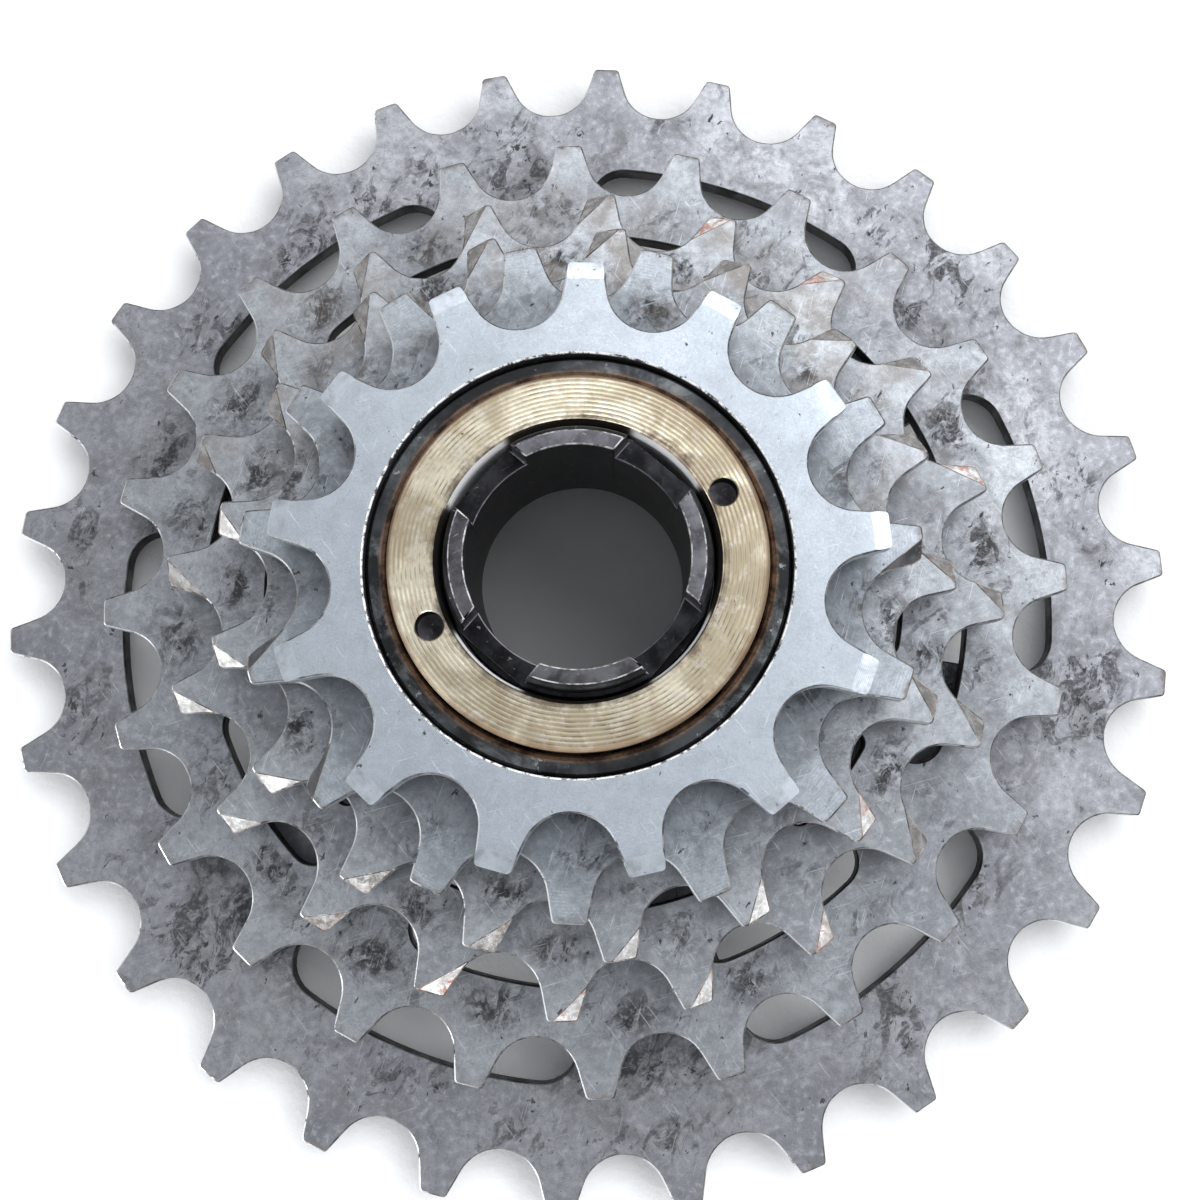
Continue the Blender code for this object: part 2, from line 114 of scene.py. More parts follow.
def new_object(name, mesh):
    piece = bpy.data.objects.new(name, mesh)
    bpy.context.scene.collection.objects.link(piece)
    return piece


@contextmanager
def edited(mesh):
    """Opens a mesh for editing, and writes it back."""
    work = bmesh.new()
    work.from_mesh(mesh)
    yield work
    work.to_mesh(mesh)
    work.free()


def clean(mesh, flat=None):
    """Welds doubles, merges coplanar faces when asked, and turns the faces outward."""
    with edited(mesh) as work:
        bmesh.ops.remove_doubles(work, verts=work.verts, dist=WELD)
        bmesh.ops.dissolve_degenerate(work, edges=work.edges, dist=WELD)
        if flat is not None:
            limit = math.radians(flat)
            bmesh.ops.dissolve_limit(work, angle_limit=limit, verts=work.verts, edges=work.edges)
        bmesh.ops.recalc_face_normals(work, faces=work.faces)


def baked(piece, flat=None):
    """The piece with its curve or modifiers made into one mesh, in place of the original."""
    bpy.context.view_layer.update()
    evaluated = piece.evaluated_get(bpy.context.evaluated_depsgraph_get())
    mesh = bpy.data.meshes.new_from_object(evaluated)
    mesh.transform(piece.matrix_world)
    name = piece.name
    bpy.data.objects.remove(piece, do_unlink=True)
    clean(mesh, flat=flat)
    mesh.name = name
    return new_object(name, mesh)


def turned(name, profile, steps=192, shape=None):
    """Solid of revolution from a closed (radius, height) profile; shape may move each point."""
    verts = []
    faces = []
    count = len(profile)
    for step in range(steps):
        bearing = 360.0 * step / steps
        for radius, height in profile:
            if shape:
                radius, height = shape(bearing, radius, height)
            x, y = at_bearing(radius, bearing)
            verts.append((x * MM, y * MM, height * MM))
    for step in range(steps):
        here = step * count
        after = (step + 1) % steps * count
        for point in range(count):
            following = (point + 1) % count
            faces.append((here + point, after + point, after + following, here + following))
    mesh = bpy.data.meshes.new(name)
    mesh.from_pydata(verts, [], faces)
    clean(mesh)
    return new_object(name, mesh)


def plate(name, outlines, bottom, top):
    """Flat plate between two heights: the first outline is its edge and the others are holes."""
    curve = bpy.data.curves.new(name, "CURVE")
    curve.dimensions = "2D"
    curve.fill_mode = "BOTH"
    curve.extrude = (top - bottom) / 2 * MM
    for outline in outlines:
        spline = curve.splines.new("POLY")
        spline.points.add(len(outline) - 1)
        for point, (x, y) in zip(spline.points, outline):
            point.co = (x * MM, y * MM, 0.0, 1.0)
        spline.use_cyclic_u = True
    piece = new_object(name, curve)
    piece.location.z = (top + bottom) / 2 * MM
    return baked(piece)


def box(name, size, matrix):
    """Box of a size in millimetres, placed by a matrix."""
    mesh = bpy.data.meshes.new(name)
    with edited(mesh) as work:
        bmesh.ops.create_cube(work, size=1.0)
        bmesh.ops.scale(work, vec=Vector(size) * MM, verts=work.verts)
        bmesh.ops.transform(work, matrix=matrix, verts=work.verts)
    return new_object(name, mesh)


def joined(name, pieces):
    """Several separate closed pieces as one object, to cut with in one go."""
    mesh = bpy.data.meshes.new(name)
    with edited(mesh) as work:
        for piece in pieces:
            work.from_mesh(piece.data)
            bpy.data.objects.remove(piece, do_unlink=True)
    return new_object(name, mesh)


def carved(piece, cutter, operation="DIFFERENCE", flat=None):
    """The piece after an exact Boolean with a cutter, which is used up."""
    modifier = piece.modifiers.new("Carve", "BOOLEAN")
    modifier.operation = operation
    modifier.object = cutter
    modifier.solver = "EXACT"
    result = baked(piece, flat)
    bpy.data.objects.remove(cutter, do_unlink=True)
    return result


def softened(piece, width, segments=2, angle=50.0, above=-1.0):
    """Rounds the piece's outer and inner corners sharper than an angle and above a height."""
    limit = math.radians(angle)
    with edited(piece.data) as work:
        sharp = [
            edge for edge in work.edges
            if edge.calc_face_angle(0.0) > limit and min(vert.co.z for vert in edge.verts) > above * MM
        ]
        bmesh.ops.bevel(work, geom=sharp, offset=width * MM, segments=segments, profile=0.5, affect="EDGES")
        bmesh.ops.remove_doubles(work, verts=work.verts, dist=2 * WELD)
    return piece


def paint(piece, materials, choose=None):
    """Gives the piece its materials; choose(centre in mm, normal) picks one for each face."""
    piece.data.materials.clear()
    for material in materials:
        piece.data.materials.append(material)
    if choose:
        for face in piece.data.polygons:
            face.material_index = choose(face.center / MM, face.normal)


def place(piece, body, slot, *nodes):
    """Puts a finished piece on its body, in place of the CAD nodes it stands for."""
    piece.data.shade_smooth()
    piece.data.set_sharp_from_angle(angle=math.radians(SHARP_ANGLE))
    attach(piece, body)
    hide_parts(*nodes)


def add_ring(node, kind, profile, material, body, slot, steps=192):
    """A turned piece in place of one CAD node."""
    ring = turned(f"{node}_{kind}", profile, steps)
    paint(ring, [material])
    place(ring, body, slot, node)


# ---- material helpers ------------------------------------------
CREVICE = 7.0                # how far the painted shade reaches from a neighbouring sprocket
FACING_PITCH = 0.30          # of the lathe's rings on the 15-tooth sprocket
# the sprockets' rounded corners that face this way get a painted highlight
HIGHLIGHT_SIDE = (-0.94, -0.34, 0.0)
BAND_TONE = (0.50, 0.545, 0.60)
LATHE_LINE = (0.72, 0.76, 0.82)
GREASE_AND_SHADE = (0.060, 0.060, 0.063)
SMOKE = (0.120, 0.120, 0.122)
GREASE = (0.030, 0.029, 0.033)
FLECK = (0.022, 0.021, 0.022)
VARNISH = (0.27, 0.225, 0.185)
WORN_TIP = (0.165, 0.130, 0.110)
# bluish colour of the painted shade next to neighbouring parts
CREVICE_SHADE = (0.034, 0.040, 0.052)


def scaled(colour, factor):
    """A colour made darker or lighter, up to white."""
    return tuple(min(1.0, factor * part) for part in colour)


class Finish:
    """A Principled material built from procedural textures in millimetres."""

    def __init__(self, name, metallic=1.0, seed=0.0):
        self.material = bpy.data.materials.new(name)
        self.material.use_nodes = True
        self.tree = self.material.node_tree
        self.shader = self.tree.nodes["Principled BSDF"]
        self.shader.inputs["Metallic"].default_value = metallic
        place_node = self.add("ShaderNodeTexCoord")
        in_mm = {0: place_node.outputs["Object"], "Scale": 1.0 / MM}
        self.raw = self.add("ShaderNodeVectorMath", in_mm, operation="SCALE").outputs[0]
        shift = self.add("ShaderNodeVectorMath", {0: self.raw, 1: (seed, seed * 0.37, 0.0)}, operation="ADD")
        self.where = shift.outputs[0]
        self.colour = None

    def add(self, kind, inputs=None, **settings):
        node = self.tree.nodes.new(kind)
        for key, value in settings.items():
            setattr(node, key, value)
        for key, value in (inputs or {}).items():
            if isinstance(value, bpy.types.NodeSocket):
                self.tree.links.new(value, node.inputs[key])
            else:
                node.inputs[key].default_value = value
        return node

    def math(self, operation, a, b=0.0, clamp=False):
        node = self.add("ShaderNodeMath", {0: a, 1: b}, operation=operation)
        node.use_clamp = clamp
        return node.outputs[0]

    def times(self, a, b, clamp=False):
        return self.math("MULTIPLY", a, b, clamp)

    def plus(self, a, b):
        return self.math("ADD", a, b)

    def larger(self, first, *others):
        for other in others:
            first = self.math("MAXIMUM", first, other)
        return first

    def stretched(self, scale, turn=0.0):
        """Coordinates scaled unevenly along a turned direction, for streaks and scratches."""
        turned_by = {"Vector": self.where, "Angle": math.radians(turn)}
        rotated = self.add("ShaderNodeVectorRotate", turned_by, rotation_type="Z_AXIS")
        node = self.add("ShaderNodeVectorMath", {0: rotated.outputs[0], 1: scale}, operation="MULTIPLY")
        return node.outputs[0]

    def noise(self, scale, detail=4.0, rough=0.55, vector=None, warp=0.0):
        """Noise with features about 1 / scale millimetres across."""
        shape = {"Scale": scale, "Detail": detail, "Roughness": rough, "Distortion": warp}
        return self.add("ShaderNodeTexNoise", {"Vector": vector or self.where, **shape}).outputs["Fac"]

    def ramp(self, value, low, high, start=0.0, end=1.0):
        """Value between low and high mapped smoothly from start to end."""
        ends = {"From Min": low, "From Max": high, "To Min": start, "To Max": end}
        node = self.add("ShaderNodeMapRange", {"Value": value, **ends}, interpolation_type="SMOOTHSTEP")
        return node.outputs["Result"]

    def cloud(self, scale, detail, rough, low, high, start=0.0, end=1.0, warp=0.0):
        """Patches: noise mapped from start to end between two of its levels."""
        return self.ramp(self.noise(scale, detail, rough, warp=warp), low, high, start, end)

    def blend(self, factor, a, b):
        """Colour b over colour a by a factor."""
        node = self.add("ShaderNodeMix", data_type="RGBA")
        for socket, value in ((0, factor), (6, a), (7, b)):
            if isinstance(value, bpy.types.NodeSocket):
                self.tree.links.new(value, node.inputs[socket])
            elif socket:
                node.inputs[socket].default_value = (*value, 1.0)
            else:
                node.inputs[socket].default_value = value
        return node.outputs[2]

    def over(self, factor, colour):
        """Lays a colour over the finish's own by a factor."""
        self.colour = self.blend(factor, self.colour, colour)

    def mix(self, factor, a, b):
        """Number b over number a by a factor."""
        return self.plus(self.times(self.math("SUBTRACT", b, a), factor), a)

    def radius(self):
        """Distance from the axis, in millimetres."""
        flat = self.add("ShaderNodeVectorMath", {0: self.raw, 1: (1.0, 1.0, 0.0)}, operation="MULTIPLY")
        return self.add("ShaderNodeVectorMath", {0: flat.outputs[0]}, operation="LENGTH").outputs["Value"]

    def bearing(self):
        """Bearing in radians."""
        parts = self.add("ShaderNodeSeparateXYZ", {0: self.raw})
        return self.math("ARCTAN2", parts.outputs[0], parts.outputs[1])

    def facing(self, direction):
        """How squarely the surface faces a direction, from -1 to 1."""
        normal = self.add("ShaderNodeNewGeometry").outputs["Normal"]
        pair = {0: normal, 1: direction}
        return self.add("ShaderNodeVectorMath", pair, operation="DOT_PRODUCT").outputs["Value"]

    def scratches(self, lines, along, detail, low, high):
        """Fine scratches in several directions: lines are (turn in degrees, closeness)."""
        marks = []
        for turn, close in lines:
            grain = self.noise(1.0, detail, 0.5, vector=self.stretched((close, along, 1.0), turn))
            marks.append(self.ramp(grain, low, high))
        return self.larger(*marks)

    def bump(self, value, depth):
        """Adds relief of a depth in millimetres on top of any that is there already."""
        node = self.add("ShaderNodeBump", {"Height": value, "Distance": depth * MM, "Strength": 1.0})
        normal = self.shader.inputs["Normal"]
        if normal.is_linked:
            self.tree.links.new(normal.links[0].from_socket, node.inputs["Normal"])
        self.tree.links.new(node.outputs[0], normal)

    def finish(self, roughness=None, metallic=None):
        for key, value in (("Base Color", self.colour), ("Roughness", roughness), ("Metallic", metallic)):
            if value is not None:
                self.tree.links.new(value, self.shader.inputs[key])
        return self.material


def lathe_band(f, start):
    """Where a lathe has faced the metal beyond a start radius, and the fine bright rings it left there."""
    ragged = f.plus(f.radius(), f.times(f.noise(0.35, 6.0, 0.7), 2.4))
    faced = f.ramp(ragged, start + 0.9, start + 1.8)
    rings = f.math("SINE", f.times(f.radius(), 2 * math.pi / FACING_PITCH))
    broken = f.cloud(0.8, 5.0, 0.6, 0.44, 0.60, 0.0, 0.55)
    return faced, f.times(f.times(f.ramp(rings, 0.1, 0.9), broken), faced)


def gap_grease_and_shade(f, centre, width, teeth, gap):
    """Greasy marks and painted shade on one radius, behind the gaps of the next smaller sprocket; gap is one
    gap's bearing.
    """
    away = f.math("DIVIDE", f.math("SUBTRACT", f.radius(), centre), width)
    bell = f.math("POWER", math.e, f.times(f.times(away, away), -1.0))
    turn = f.math("SUBTRACT", f.times(f.bearing(), float(teeth)), math.radians(gap) * teeth)
    wave = f.plus(f.times(f.math("COSINE", turn), 0.5), 0.5)
    spread = f.ramp(f.noise(0.06, 2.0), 0.38, 0.60, 0.35, 1.0)
    return f.times(f.times(bell, wave), spread)


def plated_steel(name, light, dark, grime, seed, tip, smudge=None, brown=0.0, band=None):
    """Satin plated steel, cloudy and mottled with old grease, with dark flecks, fine scratches and painted
    shade next to neighbouring parts.

    The teeth brown towards their tip radius, and dirt stays off them. smudge holds the values for the grease
    and painted shade behind the gaps of the next smaller sprocket, brown adds a varnish of dried oil on the
    +Y side, and band is the radius where lathe_band starts.
    """
    f = Finish(name, seed=seed)
    tone = f.cloud(0.055, 4.0, 0.60, 0.38, 0.62)
    f.colour = f.blend(tone, dark, light)
    if band:
        faced, lathe = lathe_band(f, band)
        f.over(faced, BAND_TONE)
        f.over(lathe, LATHE_LINE)
    cloud = f.noise(0.32, 9.0, 0.66, warp=0.3)
    f.over(f.ramp(cloud, 0.42, 0.66, 0.0, 0.25 + 0.45 * grime), scaled(dark, 0.62))
    fine = f.noise(2.6, 7.0, 0.70)
    f.over(f.ramp(fine, 0.40, 0.64, 0.0, 0.22 + 0.5 * grime), scaled(dark, 0.52))
    grain = f.cloud(5.5, 4.0, 0.7, 0.40, 0.62, 0.0, 0.30)
    f.over(grain, scaled(dark, 0.55))
    bright = f.cloud(1.3, 9.0, 0.74, 0.48, 0.66, 0.0, 0.12 + 0.5 * grime)
    f.over(bright, scaled(light, 1.32))

    reach = f.times(f.cloud(0.075, 3.0, 0.5, 0.45, 0.62, 0.15, 1.0), grime)
    if smudge:
        # grease and painted shade, dark behind the gaps of the next smaller sprocket
        mark = gap_grease_and_shade(f, *smudge)
        reach = f.larger(reach, mark)
        gap_darkening = f.times(mark, f.cloud(0.9, 9.0, 0.76, 0.40, 0.62, 0.10, 0.90, warp=0.4))
        f.over(gap_darkening, GREASE_AND_SHADE)
    web = f.ramp(f.radius(), tip - 6.2, tip - 3.8, 1.0, 0.35)
    reach = f.times(reach, web)
    smeared = f.stretched((1.0, 0.62, 1.0), 28.0)
    mottle = f.plus(f.noise(0.50, 12.0, 0.66, vector=smeared, warp=1.2), f.times(reach, 0.16))
    mottle = f.times(f.ramp(mottle, 0.590, 0.670), f.plus(reach, 0.12), clamp=True)
    mottle = f.times(mottle, f.cloud(2.2, 6.0, 0.7, 0.34, 0.56, 0.35, 1.0))
    fleck = f.plus(f.noise(1.1, 6.0, 0.62, vector=smeared, warp=0.4), f.times(reach, 0.08))
    fleck = f.ramp(fleck, 0.665, 0.715, 0.0, 0.90)
    smoke = f.times(f.cloud(0.20, 9.0, 0.74, 0.44, 0.72, 0.0, 0.9 * grime, warp=0.8), web)
    dirt = f.larger(f.times(mottle, 0.80), fleck, smoke)
    f.over(smoke, SMOKE)
    f.over(f.times(mottle, 0.95), GREASE)
    f.over(fleck, FLECK)

    if brown:
        side = f.ramp(f.math("COSINE", f.bearing()), -0.2, 0.9)
        varnish = f.times(f.cloud(0.16, 7.0, 0.65, 0.44, 0.62), f.times(side, brown))
        f.over(varnish, VARNISH)
        dirt = f.larger(dirt, varnish)
    ragged = f.plus(f.radius(), f.times(f.noise(0.9, 7.0, 0.7), 3.0))
    worn = f.ramp(ragged, tip + 0.75, tip + 1.75, 0.0, 0.8)
    f.over(worn, WORN_TIP)
    dirt = f.larger(dirt, worn)
    if band:
        dirt = f.mix(faced, dirt, f.times(dirt, 0.5))
    # painted shade: darker and bluer where ambient occlusion finds a neighbouring part close by
    crevice = f.add("ShaderNodeAmbientOcclusion", {"Distance": CREVICE * MM}, samples=6)
    f.over(f.ramp(crevice.outputs["AO"], 0.25, 0.85, 0.66, 0.0), CREVICE_SHADE)
    scuff = f.scratches(((17.0, 7.0), (74.0, 9.0), (-38.0, 6.0)), 0.22, 2.0, 0.69, 0.73)
    f.over(f.times(scuff, 0.4), scaled(light, 1.3))

    rough = f.mix(tone, 0.46, 0.39)
    rough = f.plus(rough, f.times(f.math("SUBTRACT", fine, 0.5), 0.3))
    for relief, depth in ((fine, 0.010), (cloud, 0.030), (dirt, -0.010), (scuff, -0.004)):
        f.bump(relief, depth)
    return f.finish(f.mix(dirt, rough, 0.60), f.mix(dirt, 1.0, 0.55))


def turned_steel(name, light, mid, seed, pitch=0.16):
    """Steel with the fine rings that a lathe tool leaves on the sloping front of a tooth."""
    f = Finish(name, seed=seed)
    radius = f.radius()
    wobble = f.times(f.noise(0.4, 3.0), 0.10)
    ring = f.math("SINE", f.times(f.plus(radius, wobble), 2 * math.pi / pitch))
    broad = f.noise(1.0, 3.0, 0.6, vector=f.stretched((0.5, 0.5, 0.5)))
    tone = f.ramp(broad, 0.35, 0.68)
    f.colour = f.blend(tone, mid, light)
    cloud = f.cloud(0.45, 9.0, 0.70, 0.44, 0.66, 0.0, 0.55, warp=0.4)
    f.over(cloud, scaled(mid, 0.5))
    speck = f.cloud(1.5, 6.0, 0.66, 0.64, 0.69, 0.0, 0.85)
    f.over(speck, (0.05, 0.048, 0.046))
    rough = f.mix(tone, 0.44, 0.36)
    f.bump(ring, 0.003)
    f.bump(f.noise(2.2, 4.0, 0.6), 0.006)
    return f.finish(rough, f.mix(speck, 1.0, 0.3))


def worn_facet(name, seed, bright, rust):
    """Ground tooth facet: bare steel, painted from bright, for a highlight, to dull, for shade, browned by
    wear and more so on the dull ones, with patches of orange rust.
    """
    f = Finish(name, seed=seed)
    tone = f.cloud(0.6, 7.0, 0.7, 0.40, 0.62, warp=0.4)
    # bright sets how lit the facet is painted: a light tone for a painted highlight, a dark tone with more
    # brown grime for painted shade
    f.colour = f.blend(tone, scaled((1.0, 0.98, 0.97), 0.50 * bright), (bright, bright, bright))
    grime = f.cloud(1.1, 8.0, 0.72, 0.46, 0.64, 0.0, 1.0 - 0.6 * bright, warp=0.4)
    f.over(grime, (0.165, 0.145, 0.13))
    spot = f.cloud(0.45, 9.0, 0.72, 0.50, 0.60, 0.0, 0.9, warp=0.5)
    spot = f.times(spot, rust, clamp=True)
    f.over(spot, (0.42, 0.14, 0.075))
    rough = f.mix(f.larger(grime, spot), 0.28, 0.62)
    metal = f.mix(f.larger(f.times(grime, 0.5), spot), 1.0 - 0.8 * bright, 0.1)
    f.bump(f.noise(1.6, 6.0, 0.65), 0.03)
    return f.finish(rough, metal)


def brown_edge(name, seed, rust):
    """Thin worn line where a facet meets the face: brown oxide, with some rust."""
    f = Finish(name, seed=seed)
    tone = f.cloud(0.6, 7.0, 0.72, 0.40, 0.62)
    f.colour = f.blend(tone, (0.085, 0.070, 0.062), (0.40, 0.375, 0.36))
    rusty = f.cloud(0.45, 8.0, 0.7, 0.46, 0.58, 0.0, rust)
    f.over(rusty, (0.32, 0.13, 0.075))
    f.bump(f.noise(2.0, 5.0, 0.6), 0.02)
    return f.finish(f.mix(tone, 0.62, 0.48), f.mix(rusty, 0.65, 0.2))


def corner_highlight(name, seed, root):
    """Rounded edge of a sprocket: a painted highlight on the side that faces left and a little down, and
    painted shade with dirt on the other side.

    root is the radius of the bottoms of the gaps between the teeth, where dirt stays.
    """
    f = Finish(name, seed=seed)
    # painted highlight: bright where the corner faces left and a little down, less so near the bottoms of
    # the gaps
    rubbed = f.ramp(f.facing(HIGHLIGHT_SIDE), 0.05, 0.45)
    low = f.ramp(f.math("ABSOLUTE", f.math("SUBTRACT", f.radius(), root)), 0.1, 1.2, 0.2, 1.0)
    rubbed = f.times(rubbed, low)
    rubbed = f.times(rubbed, f.cloud(0.45, 8.0, 0.7, 0.62, 0.52))
    dark = f.blend(f.cloud(0.8, 7.0, 0.7, 0.40, 0.62), (0.045, 0.048, 0.055), (0.20, 0.19, 0.185))
    f.colour = f.blend(rubbed, dark, (0.95, 0.96, 0.97))
    f.bump(f.noise(2.0, 4.0, 0.6), 0.012)
    return f.finish(f.mix(rubbed, 0.52, 0.26), f.mix(rubbed, 0.6, 1.0))


def bare_rim(name, seed, notched=False):
    """Broken bright line along the edge of a bore; notched keeps it to the notches, as a painted highlight
    on the bore wall seen through them.
    """
    f = Finish(name, seed=seed)
    worn = f.cloud(1.6, 6.0, 0.75, 0.40, 0.54)
    if notched:
        # painted highlight: bright only at the bearings of the notches
        turn = f.math("SUBTRACT", f.times(f.bearing(), 4.0), 4.0 * math.radians(FIRST_NOTCH))
        at_notch = f.ramp(f.math("COSINE", turn), 0.15, 0.45)
        worn = f.times(at_notch, f.cloud(1.6, 6.0, 0.75, 0.3, 0.4))
    f.colour = f.blend(worn, (0.10, 0.09, 0.085), (0.94, 0.94, 0.95))
    f.bump(f.noise(3.0, 3.0, 0.6), 0.05)
    return f.finish(f.mix(worn, 0.5, 0.40), f.mix(worn, 0.8, 0.2))


def gold_plate(name):
    """Pale gold over turning grooves, with thin wear and brown tarnish towards the edges."""
    f = Finish(name)
    radius = f.radius()
    tone = f.cloud(0.11, 6.0, 0.6, 0.42, 0.57, warp=0.5)
    f.colour = f.blend(tone, (0.48, 0.415, 0.30), (0.93, 0.85, 0.67))
    along = f.noise(1.0, 4.0, 0.6, vector=f.stretched((0.4, 0.4, 0.4)))
    ring = f.math("SINE", f.times(radius, 2 * math.pi / GROOVE_PITCH))
    groove = f.times(f.ramp(ring, -0.95, -0.1, 1.0, 0.0), f.ramp(along, 0.36, 0.62))
    f.over(f.times(groove, 0.80), (0.20, 0.15, 0.10))
    bare = f.cloud(0.6, 9.0, 0.72, 0.52, 0.66, 0.0, 0.55)
    f.over(bare, (0.72, 0.69, 0.63))
    film = f.cloud(0.22, 9.0, 0.70, 0.50, 0.66, 0.0, 0.60, warp=0.5)
    f.over(film, (0.36, 0.29, 0.21))
    ragged = f.plus(radius, f.times(f.noise(0.35, 9.0, 0.75), 5.0))
    inner = f.ramp(ragged, 15.0, 16.3, 0.85, 0.0)
    f.over(inner, (0.115, 0.085, 0.065))
    outer = f.ramp(f.plus(radius, f.times(along, 0.8)), 16.7, 17.6)
    f.over(f.times(outer, 0.75), (0.25, 0.16, 0.10))
    speck = f.cloud(1.7, 4.0, 0.6, 0.70, 0.74)
    f.over(speck, (0.10, 0.07, 0.05))
    rough = f.mix(tone, 0.40, 0.30)
    rough = f.mix(f.larger(film, outer), rough, 0.52)
    f.bump(f.noise(1.2, 5.0, 0.6), 0.010)
    return f.finish(rough, f.mix(speck, 1.0, 0.5))


def oily_black(name, seed, brown_from, brown_to):
    """Blackened steel under old oil, with paler dusty patches and a rim rusted brown inside a radius."""
    f = Finish(name, seed=seed)
    tone = f.cloud(0.16, 7.0, 0.65, 0.40, 0.66)
    f.colour = f.blend(tone, (0.025, 0.026, 0.028), (0.070, 0.074, 0.080))
    dust = f.cloud(0.13, 9.0, 0.74, 0.48, 0.66, 0.0, 0.75, warp=0.6)
    f.over(dust, (0.25, 0.265, 0.275))
    chip = f.cloud(0.8, 8.0, 0.72, 0.62, 0.67, 0.0, 0.7)
    f.over(chip, (0.42, 0.43, 0.45))
    radius = f.plus(f.radius(), f.times(f.noise(0.6, 5.0), 0.35))
    brown = f.ramp(radius, brown_to + 0.17, brown_from + 0.17, 1.0, 0.0)
    f.over(brown, f.blend(f.cloud(0.5, 8.0, 0.72, 0.38, 0.62), (0.055, 0.036, 0.030), (0.26, 0.175, 0.125)))
    f.bump(f.noise(1.1, 6.0, 0.65), 0.02)
    f.shader.inputs["Metallic"].default_value = 0.85
    return f.finish(f.mix(brown, f.mix(tone, 0.30, 0.46), 0.5))


def black_oxide(name, seed, wear, light=(0.055, 0.053, 0.060)):
    """Near-black oxide, rubbed to grey in places and scratched."""
    f = Finish(name, seed=seed)
    tone = f.cloud(0.25, 6.0, 0.6, 0.36, 0.66)
    f.colour = f.blend(tone, scaled(light, 0.4), light)
    rub = f.times(f.cloud(0.5, 7.0, 0.65, 0.38, 0.66), wear, clamp=True)
    f.over(rub, (0.17, 0.17, 0.19))
    scratch = f.scratches(((9.0, 6.0), (63.0, 6.0), (121.0, 6.0)), 0.8, 3.0, 0.70, 0.75)
    scratch = f.times(scratch, wear, clamp=True)
    f.over(scratch, (0.38, 0.38, 0.40))
    speck = f.cloud(1.8, 3.0, 0.5, 0.70, 0.74)
    f.over(speck, (0.20, 0.19, 0.18))
    f.bump(f.noise(1.3, 6.0, 0.65), 0.015)
    f.bump(scratch, -0.006)
    return f.finish(f.mix(rub, 0.36, 0.44), f.mix(speck, 0.9, 0.6))


def rubbed_edge(name, seed):
    """Edge of a blackened part, worn bright in a broken line."""
    f = Finish(name, seed=seed)
    worn = f.cloud(0.8, 9.0, 0.75, 0.42, 0.60)
    f.colour = f.blend(worn, (0.10, 0.10, 0.105), (0.56, 0.55, 0.56))
    f.bump(f.noise(2.2, 4.0, 0.6), 0.015)
    return f.finish(f.mix(worn, 0.42, 0.45), f.mix(worn, 0.8, 0.4))


def plain_steel(name, light, dark, rough, seed):
    """Hidden or minor steel piece with a light film of oil."""
    f = Finish(name, seed=seed)
    tone = f.cloud(0.3, 6.0, 0.6, 0.36, 0.66)
    f.colour = f.blend(tone, dark, light)
    stain = f.cloud(0.8, 7.0, 0.7, 0.58, 0.68, 0.0, 0.6)
    f.over(stain, scaled(dark, 0.4))
    f.bump(f.noise(1.5, 5.0, 0.6), 0.01)
    return f.finish(f.mix(tone, rough, rough * 0.8))


# ---- sprockets -------------------------------------------------
def pitch_radius(teeth):
    return CHAIN_PITCH / (2 * math.sin(math.pi / teeth))


def tooth_outline(teeth, first_tooth, seat_depth):
    """Round roller seats, straight leaning flanks and slightly uneven tips with rounded corners."""
    seat_centre = pitch_radius(teeth) - seat_depth + SEAT_RADIUS
    tip_radius = pitch_radius(teeth) + TIP_HEIGHT
    sweep = math.radians(90.0 - FLANK_LEAN)
    lean = math.tan(math.radians(FLANK_LEAN))
    side = SEAT_RADIUS * math.sin(sweep)
    foot = seat_centre - SEAT_RADIUS * math.cos(sweep)

    def flank_reach(radius):
        a = 1.0 + lean * lean
        b = 2.0 * (foot + side * lean)
        c = foot ** 2 + side ** 2 - radius ** 2
        return (-b + math.sqrt(b * b - 4.0 * a * c)) / (2.0 * a)

    outline = []
    for gap in range(teeth):
        middle = math.radians(first_tooth + 360.0 * (gap + 0.5) / teeth)
        seat = [-sweep + 2 * sweep * step / SEAT_STEPS for step in range(SEAT_STEPS + 1)]
        local = []
        for sign, ordinal in ((-1, gap), (1, gap + 1)):
            uneven = noise.noise(Vector((ordinal % teeth * 1.7, teeth * 0.9, 0.3)))
            tip = tip_radius - 0.10 * abs(uneven)
            reach = flank_reach(tip - TIP_ROUND)
            flank = (sign * (side + reach * lean), foot + reach)
            far = flank_reach(tip)
            corner = (sign * (side + far * lean), foot + far)
            across = corner[0] + sign * TIP_ROUND * 1.1
            onto_tip = (across, math.sqrt(tip ** 2 - across ** 2))
            rounded = []
            for step in range(5):
                t = step / 4
                a, b, c = (1 - t) ** 2, 2 * t * (1 - t), t * t
                rounded.append(tuple(a * p + b * q + c * r for p, q, r in zip(onto_tip, corner, flank)))
            if sign < 0:
                local += rounded
                local += [(SEAT_RADIUS * math.sin(t), seat_centre - SEAT_RADIUS * math.cos(t)) for t in seat]
            else:
                local += rounded[::-1]
        for across, out in local:
            x = out * math.sin(middle) + across * math.cos(middle)
            y = out * math.cos(middle) - across * math.sin(middle)
            rag = 1.0 + 0.0006 * noise.noise(Vector((x * 0.9, y * 0.9, teeth)))
            outline.append((x * rag, y * rag))
    return outline


